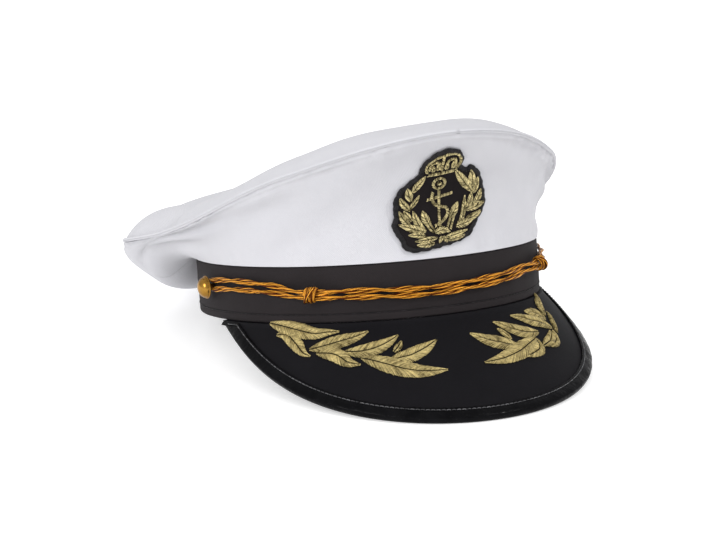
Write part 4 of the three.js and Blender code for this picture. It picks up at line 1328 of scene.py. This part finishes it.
def buildBadge():
    columns, rows, thick = 300, 14, badgeForm["thickness"]
    edge, outward, length = badgeEdge(columns)
    middle = np.array(badgeForm["middle"])

    def flat(u, v):
        index = np.round(u * columns).astype(int) % columns
        return middle + (edge[index] - middle) * v[..., None]

    def surface(u, v, depth):
        x, y = np.moveaxis(flat(u, v), -1, 0)
        rounded = thick * np.where(depth > 0, 0, 1 - 0.5 * smooth(0.965, 1, v))
        return panelPoint(x, y, gap + rounded + 0.12 * waves(x, y, 61, 9) * (1 - v) * (depth == 0))

    finished(shell("badgeBacking", columns, rows, surface, 1.0, badgeFelt, flat, looped=True, domed=True),
             "badge_cloth", "badge_backing")
    count = int(length / badgeForm["borderPitch"])
    edge, outward, _ = badgeEdge(count)
    reach, up = np.array(badgeForm["borderStitch"]).T
    lines = [onBadge(*(point[:, None] + away[:, None] * reach), up) for point, away in zip(edge, outward)]
    finished(threads("badgeBorder", lines, 0.28, blackThread), "badge_cloth")
    style = badgeForm["stitching"]
    for side in ("right", "left"):
        embroidered("badgeWreath" + side.capitalize(), "badge_wreath_" + side, badgeForm[side], [],
                    style, onBadge, badgeThread)
    x, y, radius, bead = badgeForm["ring"]
    turn = np.linspace(0, fullTurn, 25)
    ring = [(x + radius * math.sin(t), y + radius * math.cos(t)) for t in turn]
    dot = [(x - bead, y), (x, y + 0.01), (x + bead, y)]
    bars = badgeForm["anchorBars"] + [(ring, 1.3)]
    leaves = badgeForm["anchorLeaves"] + [(dot, bead * 2)]
    embroidered("badgeAnchor", "badge_anchor", leaves, bars, style, onBadge, badgeThread)
    embroidered("badgeCrown", "badge_crown", badgeForm["crownLeaves"], badgeForm["crownBars"],
                style, onBadge, badgeThread)


buildBadge()
print("badge made")

# Stitched seams
seamForm = {"bandHeight": 4.3, "bandPitch": 3.1, "bandStitch": 2.1, "bandThread": 0.22,
            "bindingPitch": 2.5, "bindingStitch": 1.9, "bindingThread": 0.26, "bindingInset": 1.5}


# Row of short stitches that dip into the cloth at both ends, on a line given by its length
def stitchRow(pointAt, length, pitch, stitch, rise):
    lines = []
    for start in np.arange(0.4, length - pitch, pitch):
        t = start + np.linspace(0, stitch, 6)
        lines.append(pointAt(t, rise * np.array([-0.8, 0.6, 1, 1, 0.6, -0.8])))
    return lines


def buildSeams():
    turn = np.linspace(0, 360, 1441)
    arc = arcAlong(bandPoint(turn, 0, 0))
    lines = stitchRow(lambda t, up: bandPoint(np.interp(t, arc, turn), up, seamForm["bandHeight"]), arc[-1],
                      seamForm["bandPitch"], seamForm["bandStitch"], 0.06)
    finished(threads("bandStitches", lines, seamForm["bandThread"], blackThread), "band_cloth")
    cut = visorForm["cutAngle"]
    angle = np.linspace(-cut + 1.5, cut - 1.5, 1200)
    out = visorReach(angle) - bindingWidthAt(angle) + seamForm["bindingInset"]
    top = visorForm["thickness"] / 2 + gap + visorForm["bindingWall"]
    arc = arcAlong(visorPoint(angle, out, top))

    def onBinding(t, up):
        return visorPoint(np.interp(t, arc, angle), np.interp(t, arc, out), top - 0.12 + up)

    lines = stitchRow(onBinding, arc[-1], seamForm["bindingPitch"], seamForm["bindingStitch"], 0.22)
    # their finish carries painted glints in its lighter grey tones
    finished(threads("bindingStitches", lines, seamForm["bindingThread"], bindingThread), "visor_binding")


buildSeams()
print("stitches made")
